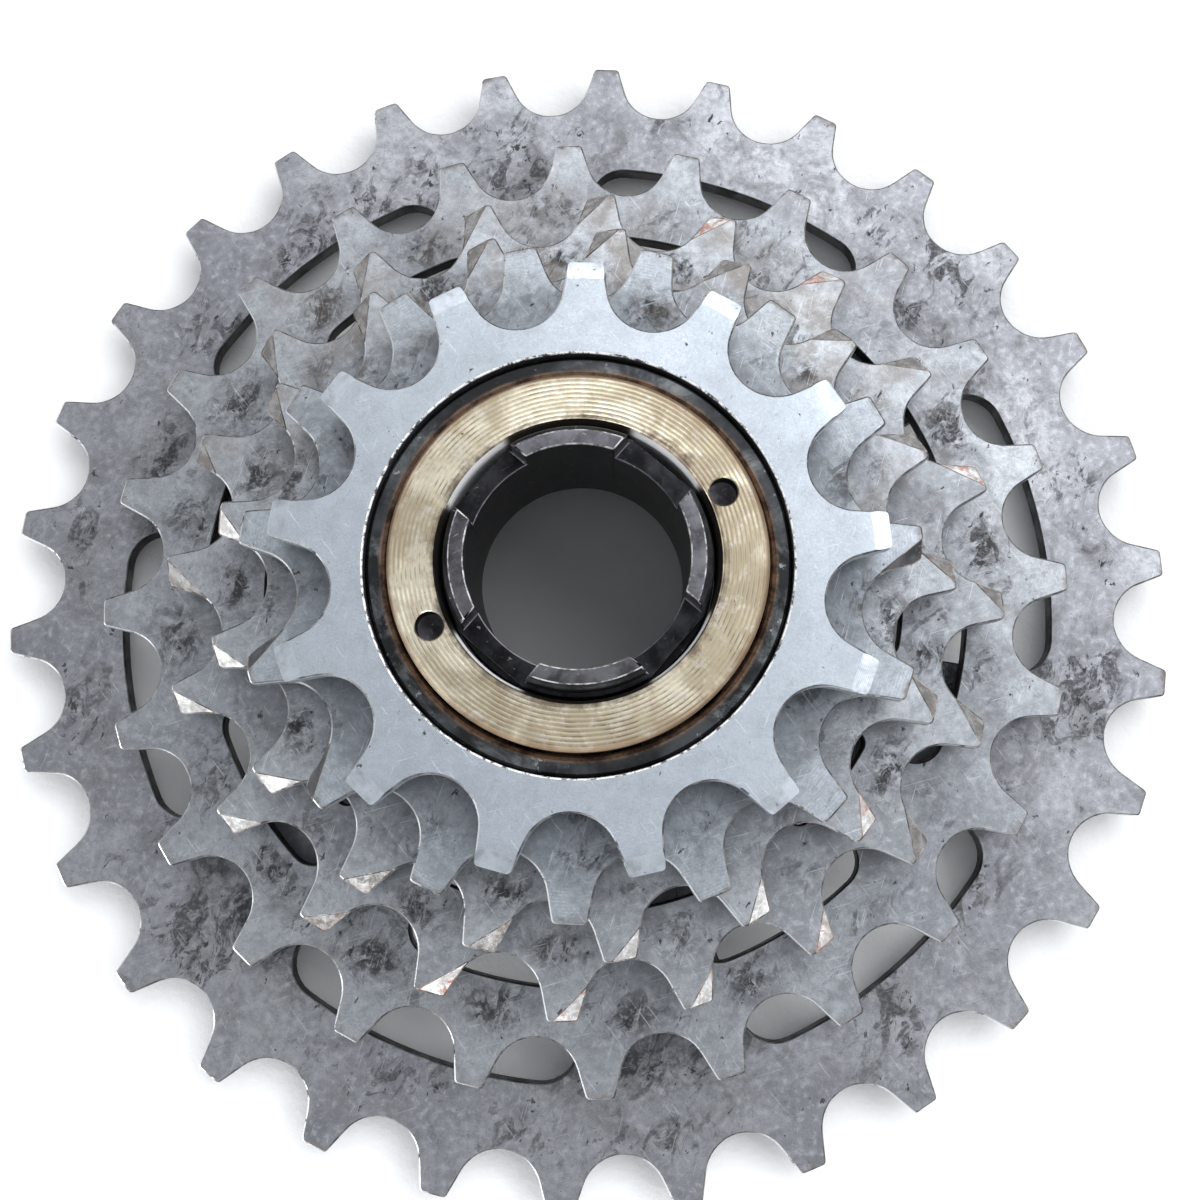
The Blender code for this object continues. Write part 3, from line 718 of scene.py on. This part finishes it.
def window_outline(middle, half_span, inner, outer, corner):
    """One rounded opening between two spokes, as wide in degrees at its inner as at its outer edge."""
    outline = []
    steps = 8
    for edge, inward, side in ((outer, -1, -1), (inner, 1, 1)):
        rounding = []
        for step in range(steps + 1):
            t = step / steps * math.pi / 2
            radius = edge + inward * corner * (1 - math.sin(t))
            rounding.append((radius, half_span - math.degrees(corner * (1 - math.cos(t)) / edge)))
        flat = half_span - math.degrees(corner / edge)
        outline += [at_bearing(radius, middle + side * off) for radius, off in rounding]
        outline += [at_bearing(edge, middle + side * flat * (1 - part / 6)) for part in range(1, 12)]
        outline += [at_bearing(radius, middle - side * off) for radius, off in reversed(rounding)]
    return outline


def keyed_bore(radius, keys, steps=192):
    """Bore with a slot for each of the shell's keys, or a plain round one."""
    if not keys:
        return [at_bearing(radius + BORE_GAP, 360.0 * step / steps) for step in range(steps)]
    outline = []
    pitch = 360.0 / keys
    slot = math.degrees((KEY_WIDTH / 2 + BORE_GAP) / radius)
    part_steps = steps // keys
    for key in range(keys):
        bearing = key * pitch
        deep = radius + KEY_HEIGHT + BORE_GAP * 2
        outline += [at_bearing(radius + BORE_GAP, bearing - slot), at_bearing(deep, bearing - slot)]
        outline += [at_bearing(deep, bearing + slot), at_bearing(radius + BORE_GAP, bearing + slot)]
        for step in range(1, part_steps):
            part = slot + (pitch - 2 * slot) * step / part_steps
            outline.append(at_bearing(radius + BORE_GAP, bearing + part))
    return outline


def cone_disc(top, bottom):
    """Disc whose front slopes down beyond a start radius, with tool marks on the slope."""
    slope = TURNED_DROP / TURNED_REACH
    rise = 0.3
    outer = TURNED_START + TURNED_REACH + 1.5
    marks = []
    for ridge in range(1, int((outer - TURNED_START) / TOOL_PITCH)):
        radius = TURNED_START + TOOL_PITCH * ridge
        height = top - slope * (radius - TURNED_START)
        marks += [(radius - 0.03, height), (radius, height - TOOL_DEPTH)]
    profile = [
        (TURNED_START - rise / slope, top + rise), *marks, (outer, top - slope * (outer - TURNED_START)),
        (outer, bottom - 1.0), (8.0, bottom - 1.0), (8.0, top + rise),
    ]
    return turned("cone_disc", profile, 240)


def tooth_wedge(tooth, tip_radius, top, across_tip, across_foot, drop, slope):
    """Block that grinds a slanted facet: its plane meets the face along a line from the tip to a flank.

    The line runs from across_tip on the tip circle to across_foot, drop below it; distances across the
    tooth are positive clockwise, and the facet falls away on the side of across_foot.
    """
    start = Vector((across_tip, tip_radius, 0.0))
    end = Vector((across_foot, tip_radius - drop, 0.0))
    along = (end - start).normalized()
    aside = Vector((along.y, -along.x, 0.0))
    if aside.x * across_foot < 0:
        aside = -aside
    tilt = math.radians(slope)
    out = (aside * math.sin(tilt) + Vector((0.0, 0.0, 1.0)) * math.cos(tilt)).normalized()
    third = out.cross(along)
    height = 3.0
    length = (end - start).length + 2.2
    centre = (start + end) / 2 + out * (height / 2)
    local = Matrix((along, third, out)).transposed().to_4x4()
    local.translation = centre * MM
    lift = Matrix.Translation((0.0, 0.0, top * MM))
    spin = Matrix.Rotation(-math.radians(tooth), 4, "Z")
    return box("wedge", (length, 7.0, height), lift @ spin @ local)


TURNED_START = 26.75         # the 13-tooth sprocket's front slopes back beyond this radius
TURNED_DROP = 0.14
TURNED_REACH = 1.7
TOOL_PITCH = 0.28            # of the grooves a lathe tool leaves on the slope
TOOL_DEPTH = 0.008
SPROCKETS = {
    # teeth: a tooth's bearing, seat depth, shell radius, keys
    13: (1.22, 4.10, 19.3, 0),
    15: (13.35, 3.95, 21.3, 0),
    17: (4.52, 3.90, 23.2, KEY_COUNT),
    20: (2.40, 3.90, 25.0, KEY_COUNT),
    24: (12.86, 3.90, 25.0, KEY_COUNT),
    30: (2.06, 3.85, 25.0, KEY_COUNT),
}
WINDOWS = {                   # count, middle bearing, half span, inner and outer radius, corner radius
    20: (10, 20.4, 10.25, 29.0, 32.1, 1.2),
    24: (8, 12.86, 14.7, 29.3, 39.8, 3.0),
    30: (6, 20.06, 19.4, 29.6, 50.1, 4.0),
}
EDGE_ROUND = 0.17
FACET_AREA = 0.3             # square millimetres
FACET_BORDER = 0.15
GROUND_TEETH = (17, 20)                     # sprockets with a slanted facet on every tooth
DARK_FACETS = (85.35, 229.35, 253.35)       # bearings of the 15-tooth sprocket's ground teeth
# bearings of the teeth whose facets get a painted highlight, and of those with rust, by number of teeth
HIGHLIT_FACETS = {17: (153, 174, 237, 259, 280), 20: (236, 254)}
RUSTY_FACETS = {17: (132,), 20: (20, 38, 74, 146, 164, 182, 200)}
# a sprocket's materials, in the order make_sprockets lists them
FACE, TURNED, DARK, SHADED_FACET, LIT_FACET, RUSTY, BORE_RIM, BORDER, RUSTY_BORDER, WINDOW_SHADE, EDGE = range(11)


def facet_near(table, teeth, centre):
    """Whether a point lies on one of the teeth a table names."""
    bearing = math.degrees(math.atan2(centre.x, centre.y))
    return any(abs((bearing - tooth + 180.0) % 360.0 - 180.0) < 5.0 for tooth in table.get(teeth, ()))


def facet_kind(teeth, centre):
    """Material of a ground facet."""
    if teeth == 15:
        return DARK
    if facet_near(RUSTY_FACETS, teeth, centre):
        return RUSTY
    return LIT_FACET if facet_near(HIGHLIT_FACETS, teeth, centre) else SHADED_FACET


def outline_facets(piece, teeth):
    """Gives each ground facet its own material, with a thin worn border round it."""
    with edited(piece.data) as work:
        slanted = [face for face in work.faces if 0.55 < face.normal.z < 0.90]
        facets = [face for face in slanted if face.calc_area() > FACET_AREA * MM ** 2]
        for face in facets:
            face.material_index = facet_kind(teeth, face.calc_center_median())
        border = bmesh.ops.inset_individual(work, faces=facets, thickness=FACET_BORDER * MM, depth=0.0)
        for face in border["faces"]:
            rusty = facet_near(RUSTY_FACETS, teeth, face.calc_center_median())
            face.material_index = RUSTY_BORDER if rusty else BORDER


def facet_wedges(teeth, top):
    """Grinding blocks: one for every tooth of the 17 and 20, and three steep ones for the 15."""
    tip = pitch_radius(teeth) + TIP_HEIGHT
    if teeth == 15:
        return [tooth_wedge(bearing, tip, top, -0.5, 1.9, 3.6, 52.0) for bearing in DARK_FACETS]
    wedges = []
    for tooth in range(teeth if teeth in GROUND_TEETH else 0):
        bearing = SPROCKETS[teeth][0] + 360.0 * tooth / teeth
        vary = noise.noise(Vector((tooth * 2.3, teeth, 1.1)))
        foot = 3.3 + 1.2 * vary
        wedges.append(tooth_wedge(bearing, tip, top, 1.1 + 0.2 * vary, -2.0, foot, 36 + 8 * vary))
    return wedges


def make_sprocket(teeth, materials):
    first_tooth, depth, seat, keys = SPROCKETS[teeth]
    cut = WINDOWS.get(teeth)
    node = f"sprocket_{teeth}t"
    top, bottom = top_of(node), bottom_of(node)
    outlines = [tooth_outline(teeth, first_tooth, depth), keyed_bore(seat, keys)]
    if cut:
        count, middle, half_span, inner, outer, corner = cut
        for window in range(count):
            bearing = middle + 360.0 * window / count
            outlines.append(window_outline(bearing, half_span, inner, outer, corner))
    piece = plate(node + "_steel", outlines, bottom, top)
    clean(piece.data, FLAT_ANGLE)
    piece = softened(piece, EDGE_ROUND)
    if teeth == 13:
        piece = carved(piece, cone_disc(top, bottom), "INTERSECT")
    wedges = facet_wedges(teeth, top)
    if wedges:
        piece = carved(piece, joined("wedges", wedges))
    clean(piece.data, FLAT_ANGLE)
    if wedges:
        outline_facets(piece, teeth)

    def choose(centre, normal):
        radius = math.hypot(centre.x, centre.y)
        # window walls and their rounded edges get the near-black painted shade
        if cut and abs(normal.z) < 0.95 and inner - 1.0 < radius < outer + 0.5:
            return WINDOW_SHADE
        if 0.2 < normal.z < 0.95:
            return BORE_RIM if radius < seat + 1.0 else EDGE
        return TURNED if teeth == 13 and radius > TURNED_START + 0.1 and normal.z > 0.9 else FACE

    facets = {face.index: face.material_index for face in piece.data.polygons if face.material_index}
    paint(piece, materials, choose)
    for index, kind in facets.items():
        piece.data.polygons[index].material_index = kind
    place(piece, "cluster", "small_sprocket_steel" if teeth < 20 else "large_sprocket_steel", node)


def make_sprockets():
    shared = (
        turned_steel("turned_band", (0.66, 0.71, 0.77), (0.52, 0.56, 0.615), 7.0),
        black_oxide("ground_dark", 21.0, 0.5, (0.10, 0.10, 0.105)),
        # the dull and the bright facet finish are one ground steel, painted as shade and as a highlight; the
        # rusty one has the bright tone, with rust
        worn_facet("facet_shaded", 3.0, 0.36, 0.12),
        worn_facet("facet_highlit", 13.0, 0.92, 0.05),
        worn_facet("facet_rusty", 17.0, 0.92, 0.9),
        bare_rim("bore_rim", 8.0),
        brown_edge("brown_edge", 5.0, 0.12),
        brown_edge("rusty_edge", 25.0, 0.55),
        # near-black walls and rounded edges of the spoke windows: painted shade
        plain_steel("window_wall_shade", (0.10, 0.10, 0.10), (0.035, 0.034, 0.034), 0.55, 9.0),
    )
    looks = {                # light and dark tone, grime, seed, grease and painted shade behind gaps, brown varnish, lathe band
        13: ((0.60, 0.655, 0.72), (0.52, 0.57, 0.63), 0.06, 11.0, None, 0.0, None),
        15: ((0.51, 0.55, 0.60), (0.38, 0.41, 0.45), 0.50, 23.0, (26.9, 2.4, 13, 15.07), 0.15, 27.7),
        17: ((0.605, 0.635, 0.675), (0.405, 0.425, 0.46), 0.55, 37.0, (30.9, 2.2, 15, 1.35), 0.55, None),
        20: ((0.555, 0.58, 0.62), (0.37, 0.388, 0.42), 0.55, 49.0, (35.2, 2.4, 17, 15.11), 0.45, None),
        24: ((0.525, 0.552, 0.59), (0.342, 0.358, 0.39), 0.55, 61.0, (42.3, 2.6, 20, 11.4), 0.15, None),
        30: ((0.475, 0.487, 0.52), (0.325, 0.334, 0.365), 0.75, 83.0, (48.6, 3.2, 6, 50.0), 0.0, None),
    }
    for teeth, (light, dark, grime, seed, marks, brown, band) in looks.items():
        tip = pitch_radius(teeth) + TIP_HEIGHT
        face = plated_steel(f"steel_{teeth}t", light, dark, grime, seed, tip, marks, brown, band)
        edge = corner_highlight(f"edge_{teeth}t", 6.0 + teeth, pitch_radius(teeth) - SPROCKETS[teeth][1])
        make_sprocket(teeth, (face, *shared, edge))


# ---- shell, spacers and dust ring ------------------------------
RATCHET_TEETH = 24
RATCHET_TIP = 20.95
RATCHET_ROOT = 22.7
RATCHET_BACK = 5.2
RATCHET_FRONT = 12.6
RATCHET_FACE = 50.29         # bearing of one drive face
RATCHET_LAND = 2.5           # degrees of full depth behind each drive face
KEYED = ((25.0, 2.1, 13.4), (23.2, 13.4, 18.2))     # radius and heights of the keyed steps


def shell_shape(bearing, radius, height):
    """Raises the keys on the outer steps and cuts the saw teeth of the ratchet inside."""
    for seat, low, high in KEYED:
        if abs(radius - seat) < 0.01 and low + 0.3 < height < high - 0.05:
            pitch = 360.0 / KEY_COUNT
            off = abs((bearing + pitch / 2) % pitch - pitch / 2)
            if math.radians(off) * radius < KEY_WIDTH / 2 - 0.1:
                return radius + KEY_HEIGHT, height
    if abs(radius - RATCHET_TIP) < 0.01 and RATCHET_BACK + 0.05 < height < RATCHET_FRONT:
        pitch = 360.0 / RATCHET_TEETH
        along = (bearing - RATCHET_FACE) % pitch
        ramp = min(1.0, max(0.0, (along - RATCHET_LAND) / (pitch - RATCHET_LAND - 0.6)))
        return max(RATCHET_TIP, RATCHET_ROOT + (RATCHET_TIP - 0.3 - RATCHET_ROOT) * ramp), height
    return radius, height


def make_shell():
    top, back, ratchet = SHELL_TOP, SHELL_BACK, RATCHET_TIP
    profile = [
        (19.05, top), (19.3, top - 0.25), (19.3, 23.0), (21.1, 23.0), (21.3, 22.8), (21.3, 18.2),
        (23.2, 18.2), (23.2, 18.1), (23.2, 13.75), (23.2, 13.4), (25.0, 13.4), (25.0, 13.3), (25.0, 2.45),
        (25.0, 2.1), (28.1, 2.1), (28.3, 1.9), (28.3, back + 0.3), (28.0, back), (24.4, back),
        (24.1, back + 0.3), (24.1, 5.2), (ratchet, 5.2), (ratchet, 5.3), (ratchet, 12.55),
        (ratchet, 12.65), (ratchet, 16.9), (16.2, 16.9), (16.2, 20.2), (14.9, 20.2), (14.9, 22.5),
        (18.1, 22.5), (18.1, 26.1), (17.45, 26.1), (17.45, top - 0.5), (17.62, top - 0.2), (17.95, top),
    ]
    shell = turned("freewheel_shell_body", profile, 288, shell_shape)
    paint(shell, [oily_black("shell_black", 3.0, 18.30, 17.80)])
    place(shell, "cluster", "shell_steel", "freewheel_shell")


SPACER_BORES = {
    "spacer_13_15": 19.45, "spacer_15_17": 21.45, "spacer_17_20": 24.35, "spacer_20_24": 26.15,
    "spacer_24_30": 26.15,
}


def make_spacers():
    steel = plain_steel("spacer_dark", (0.20, 0.19, 0.185), (0.08, 0.075, 0.07), 0.5, 13.0)
    edge = 0.25
    for node, bore in SPACER_BORES.items():
        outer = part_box(node)[1].y / MM
        top, bottom = top_of(node), bottom_of(node)
        profile = [
            (outer - edge, top), (outer, top - edge), (outer, bottom + edge), (outer - edge, bottom),
            (bore + edge, bottom), (bore, bottom + edge), (bore, top - edge), (bore + edge, top),
        ]
        add_ring(node, "ring", profile, steel, "cluster", "spacer_steel")


def make_dust_ring():
    node = "rear_dust_ring"
    top, bottom = top_of(node), bottom_of(node)
    lip = 0.2
    profile = [
        (23.95, top), (23.95, bottom + lip), (23.75, bottom), (22.6, bottom), (22.3, bottom + 0.15),
        (21.4, bottom + 0.15), (21.1, bottom), (20.9, bottom + lip), (20.9, top),
    ]
    steel = plain_steel("dust_ring_finish", (0.36, 0.35, 0.34), (0.17, 0.16, 0.15), 0.45, 19.0)
    add_ring(node, "pressed", profile, steel, "cluster", "dust_ring_steel")


# ---- hub side: inner body, lock ring, shims --------------------
THREAD_PITCH = 25.4 / 24
THREAD_CREST = 16.95
THREAD_ROOT = 17.45


def thread_shape(bearing, radius, height):
    """Right-hand 60 degree thread on the hub bore, between its entry chamfer and its undercut."""
    if radius != THREAD_CREST:
        return radius, height
    phase = (height / THREAD_PITCH + bearing / 360.0) % 1.0
    wave = min(1.0, max(0.0, abs(phase - 0.5) * 2.6 - 0.15))
    return THREAD_CREST + (THREAD_ROOT - THREAD_CREST) * wave, height


PAWL_BEARINGS = (70.0, 250.0)    # of the pawls' pivots
PAWL_PIVOT_RADIUS = 19.3
POCKET_SOCKET = 1.4
POCKET_FLOOR = 18.05
POCKET_HEIGHTS = (5.6, 12.4)


def pawl_pocket(bearing):
    """Cutter for a pawl's pocket: a round socket at its pivot and a floor running on anticlockwise."""
    x, y = at_bearing(PAWL_PIVOT_RADIUS, bearing)
    outline = []
    for turn in range(0, 181, 20):
        across, out = at_bearing(POCKET_SOCKET, bearing + turn)
        outline.append((x + across, y + out))
    outline += [at_bearing(POCKET_FLOOR, bearing - part) for part in (8.0, 14.0, 19.0, 24.0)]
    outline += [at_bearing(21.6, bearing - 24.0), at_bearing(21.6, bearing)]
    return plate("pawl_pocket", [outline], *POCKET_HEIGHTS)


def notch_cutters(bearing):
    """Cutters for a remover notch, and for the gap that it opens behind the lugs."""
    height = LUG_TOP - NOTCH_FLOOR + 1.0
    blocks = (
        ("notch", 10.6, NOTCH_FLOOR + height / 2, (NOTCH_WIDTH, 6.0, height)),
        ("notch_back", 12.4, NOTCH_FLOOR, (NOTCH_WIDTH - 0.2, 1.2, 5.0)),
    )
    turn = Matrix.Rotation(-math.radians(bearing), 4, "Z")
    for name, radius, middle, size in blocks:
        where = Matrix.Translation(Vector((*at_bearing(radius, bearing), middle)) * MM)
        yield box(name, size, where @ turn)


def body_part(centre, normal):
    """0 for oxide, 1 for the lugs' rubbed tops and corners, 2 for their bright outlines."""
    radius = math.hypot(centre.x, centre.y)
    if centre.z < NOTCH_FLOOR - 0.3:
        return 0
    if centre.z > LUG_TOP - 0.02 and normal.z > 0.98:
        return 1
    if normal.z > 0.5 and radius > 11.45:
        return 0
    tilted = 0.12 < abs(normal.z) < 0.98
    corner = abs(normal.z) < 0.12 and centre.z > NOTCH_FLOOR + 0.2 and 10.2 < radius < 11.8
    if tilted and centre.z < NOTCH_FLOOR + 0.2:
        return 1
    return 2 if tilted and centre.z > LUG_TOP - 0.3 else 1 if corner else 0


def make_inner_body():
    web = 14.0
    start, end, steps = 0.55, 12.9, 68
    thread = [(THREAD_CREST, start + (end - start) * step / steps) for step in range(steps + 1)]
    profile = [
        (11.35, LUG_TOP), (11.9, LUG_TOP - LUG_BEVEL), (11.9, NOTCH_FLOOR), (12.35, NOTCH_FLOOR),
        (12.35, 21.7), (13.85, 21.7), (14.0, 21.55), (14.0, 16.5), (20.35, 16.5), (20.6, 16.25),
        (20.6, 0.3), (20.3, 0.0), (17.75, 0.0), (THREAD_ROOT, 0.3), *thread, (THREAD_ROOT, 13.2),
        (THREAD_ROOT, web), (10.35, web), (10.05, web + 0.3), (10.05, LUG_TOP),
    ]
    body = turned("inner_body_core", profile, 180, thread_shape)
    cutters = [cutter for notch in range(4) for cutter in notch_cutters(FIRST_NOTCH + 90.0 * notch)]
    for cutter in cutters + [pawl_pocket(bearing) for bearing in PAWL_BEARINGS]:
        body = carved(body, cutter)
    body = softened(body, 0.14, 2, 30.0, NOTCH_FLOOR - 0.3)
    oxide = black_oxide("body_black", 5.0, 0.10, (0.022, 0.022, 0.025))
    rubbed = black_oxide("lug_face", 9.0, 0.8, (0.150, 0.142, 0.160))
    paint(body, [oxide, rubbed, rubbed_edge("lug_edge", 2.0)], body_part)
    place(body, "hub_side", "body_steel", "inner_body")


GROOVE_PITCH = 0.42
GROOVE_DEPTH = 0.022


def lock_ring_shape(bearing, radius, height):
    """Cuts the lathe's shallow spiral into the front face."""
    if height < LOCK_TOP - 0.001 or not 13.0 < radius < 16.95:
        return radius, height
    turns = radius / GROOVE_PITCH + bearing / 360.0
    rough = 0.5 + 0.5 * noise.noise(Vector((*at_bearing(radius * 0.35, bearing), 4.0)))
    return radius, height - GROOVE_DEPTH * (0.5 + 0.5 * math.sin(2 * math.pi * turns)) * (0.5 + rough)


def pin_hole(bearing):
    """Cutters for a drilled hole with a broken edge: the drill, and the thin core left on its axis."""
    x, y = at_bearing(PIN_CIRCLE, bearing)
    top, deep = LOCK_TOP, LOCK_TOP - PIN_DEPTH
    mouth = 0.12
    profile = [
        (PIN_RADIUS + mouth + 0.3, top + 0.3), (PIN_RADIUS, top - mouth), (PIN_RADIUS, deep),
        (0.35, deep - 0.35), (0.05, deep - 0.4), (0.05, top + 0.3),
    ]
    drill = turned("pin_hole", profile, 40)
    drill.location = (x * MM, y * MM, 0.0)
    core = Matrix.Translation(Vector((x, y, top - 0.6)) * MM)
    return baked(drill), box("pin_core", (0.3, 0.3, 3.2), core)


def make_lock_ring():
    top = LOCK_TOP
    steps = 48
    inner, outer = 13.0, 16.95
    face = [(outer + (inner - outer) * step / steps, top) for step in range(steps, -1, -1)]
    profile = [
        *face, (17.2, top - 0.25), (17.2, 26.15), (14.5, 26.15), (14.3, bottom_of("lock_ring")),
        (12.65, bottom_of("lock_ring")), (12.65, top - 0.75), (12.72, top - 0.45), (12.85, top - 0.15),
    ]
    ring = turned("lock_ring_turned", profile, 256, lock_ring_shape)
    drills, cores = zip(*(pin_hole(bearing) for bearing in PIN_HOLES))
    for cutter in drills + cores:
        ring = carved(ring, cutter)
    bore = bare_rim("lock_ring_bore_highlight", 19.0, notched=True)
    paint(ring, [gold_plate("gold_turned"), black_oxide("hole_dark", 15.0, 0.2), bore], lock_ring_part)
    place(ring, "hub_side", "gold_plate", "lock_ring")


def lock_ring_part(centre, normal):
    """1 for a face down inside a pin hole, 2 for the wall of the bore, 0 elsewhere."""
    if math.hypot(centre.x, centre.y) < 12.9 and abs(normal.z) < 0.9:
        return 2
    for bearing in PIN_HOLES:
        x, y = at_bearing(PIN_CIRCLE, bearing)
        if math.hypot(centre.x - x, centre.y - y) < PIN_RADIUS + 0.02 and centre.z < LOCK_TOP - 0.25:
            return 1
    return 0


def make_shims():
    steel = plain_steel("shim_finish", (0.55, 0.55, 0.55), (0.35, 0.35, 0.35), 0.35, 29.0)
    for node in ("shim_a", "shim_b"):
        top, bottom = top_of(node), bottom_of(node)
        profile = [(13.9, top), (13.9, bottom), (12.6, bottom), (12.6, top)]
        add_ring(node, "ring", profile, steel, "hub_side", "shim_steel", 128)


# ---- pawls, springs and ball rings -----------------------------
def make_mechanism():
    """The hidden pieces keep their CAD shapes, and get their own finishes."""
    finishes = {
        "pawl_a": plain_steel("pawl_finish", (0.34, 0.34, 0.35), (0.17, 0.17, 0.18), 0.4, 33.0),
        "pawl_spring_a": plain_steel("spring_finish", (0.30, 0.32, 0.42), (0.16, 0.18, 0.26), 0.3, 37.0),
    }
    finishes["pawl_b"] = finishes["pawl_a"]
    finishes["pawl_spring_b"] = finishes["pawl_spring_a"]
    for name, material in finishes.items():
        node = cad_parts[name]
        node.data.materials.clear()
        node.data.materials.append(material)


def make_ball_ring(node, body, race_radius, balls, steel):
    height = (top_of(node) + bottom_of(node)) / 2
    ball_radius = (top_of(node) - bottom_of(node)) / 2
    thick = 0.35
    profile = [
        (race_radius + thick, height + thick), (race_radius + thick, height - thick),
        (race_radius - thick, height - thick), (race_radius - thick, height + thick),
    ]
    ring = turned(node + "_balls", profile, 128)
    mesh = bpy.data.meshes.new("balls")
    with edited(mesh) as work:
        for number in range(balls):
            where = Vector((*at_bearing(race_radius, 360.0 * (number + 0.5) / balls), height)) * MM
            matrix = Matrix.Translation(where)
            bmesh.ops.create_icosphere(work, subdivisions=3, radius=ball_radius * MM, matrix=matrix)
    ring = carved(ring, new_object("balls", mesh), "UNION")
    paint(ring, [steel])
    place(ring, body, "ball_steel", node)


# ---- floor, lights and camera ----------------------------------
def paper_white():
    f = Finish("paper", metallic=0.0)
    weave = f.noise(0.9, 6.0, 0.6)
    f.colour = f.blend(f.ramp(f.noise(0.02, 3.0), 0.3, 0.7), (0.93, 0.935, 0.94), (0.95, 0.95, 0.95))
    f.shader.inputs["Roughness"].default_value = 0.85
    f.bump(weave, 0.10)
    return f.finish()


def make_floor():
    mesh = bpy.data.meshes.new("floor")
    half = 3.0
    corners = [(-half, -half, 0), (half, -half, 0), (half, half, 0), (-half, half, 0)]
    mesh.from_pydata(corners, [], [(0, 1, 2, 3)])
    floor = new_object("floor", mesh)
    floor.location.z = -0.00002
    mesh.materials.append(paper_white())
    floor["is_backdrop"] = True


WORLD_LIGHT = 0.60
LIT_POINT = (0.0, 0.0, 0.015)
SOFTBOXES = (                 # name, place, width and height in metres, radiance
    ("window_back", (0.25, 1.10, 0.95), (1.9, 1.0), 1.35),
    ("window_right", (1.12, 0.00, 0.90), (1.5, 0.9), 2.2),
    ("overhead", (0.46, 0.58, 1.15), (1.2, 0.8), 1.7),
    ("low_left", (-0.78, -0.45, 0.36), (0.70, 0.26), 5.0),
    ("low_front", (0.00, -0.85, 0.27), (0.80, 0.18), 5.0),
)


def area_light(name, place_at, size, radiance):
    """Softbox turned towards the part; its power follows from its size and its radiance."""
    light = bpy.data.lights.new(name, "AREA")
    light.shape = "RECTANGLE"
    light.size, light.size_y = size
    light.energy = radiance * math.pi * size[0] * size[1]
    light.color = (0.98, 0.99, 1.0)
    holder = new_object(name, light)
    holder.location = place_at
    holder.rotation_mode = "QUATERNION"
    holder.rotation_quaternion = (Vector(LIT_POINT) - Vector(place_at)).to_track_quat("-Z", "Y")


def make_lights():
    world = bpy.context.scene.world or bpy.data.worlds.new("studio")
    bpy.context.scene.world = world
    world.use_nodes = True
    back = world.node_tree.nodes["Background"]
    back.inputs["Color"].default_value = (0.95, 0.975, 1.0, 1.0)
    back.inputs["Strength"].default_value = WORLD_LIGHT
    for name, place_at, size, radiance in SOFTBOXES:
        area_light(name, place_at, size, radiance)


CAMERA_PLACE = (3.72, -21.71, 113.45)       # from the middle of the smallest sprocket's front face
CAMERA_TILT = 0.158                         # radians back from straight down, then to the side
CAMERA_LEAN = 0.015
CAMERA_LENS = 38.56


def make_camera():
    data = bpy.data.cameras.new("camera")
    data.lens = CAMERA_LENS
    data.sensor_width = 36.0
    data.clip_start = 0.001
    camera = new_object("camera", data)
    x, y, z = CAMERA_PLACE
    where = Matrix.Translation(Vector((x, y, z + FRONT_FACE)) * MM)
    camera.matrix_world = where @ Matrix.Rotation(CAMERA_TILT, 4, "X") @ Matrix.Rotation(CAMERA_LEAN, 4, "Y")
    bpy.context.scene.camera = camera


def write_sizes():
    boxes = {"cad": CAD_BOX, "visual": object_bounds()}
    {name: [list(low), list(high)] for name, (low, high) in boxes.items()}


make_sprockets()
make_shell()
make_spacers()
make_dust_ring()
make_inner_body()
make_lock_ring()
make_shims()
make_mechanism()
BALL_STEEL = plain_steel("ball_finish", (0.75, 0.75, 0.76), (0.62, 0.62, 0.64), 0.14, 41.0)
make_ball_ring("rear_ball_ring", "rear_bearing", 22.35, 16, BALL_STEEL)
make_ball_ring("front_ball_ring", "front_bearing", 16.3, 12, BALL_STEEL)
make_floor()
make_lights()
make_camera()
bpy.context.scene.view_settings.view_transform = "Standard"
write_sizes()
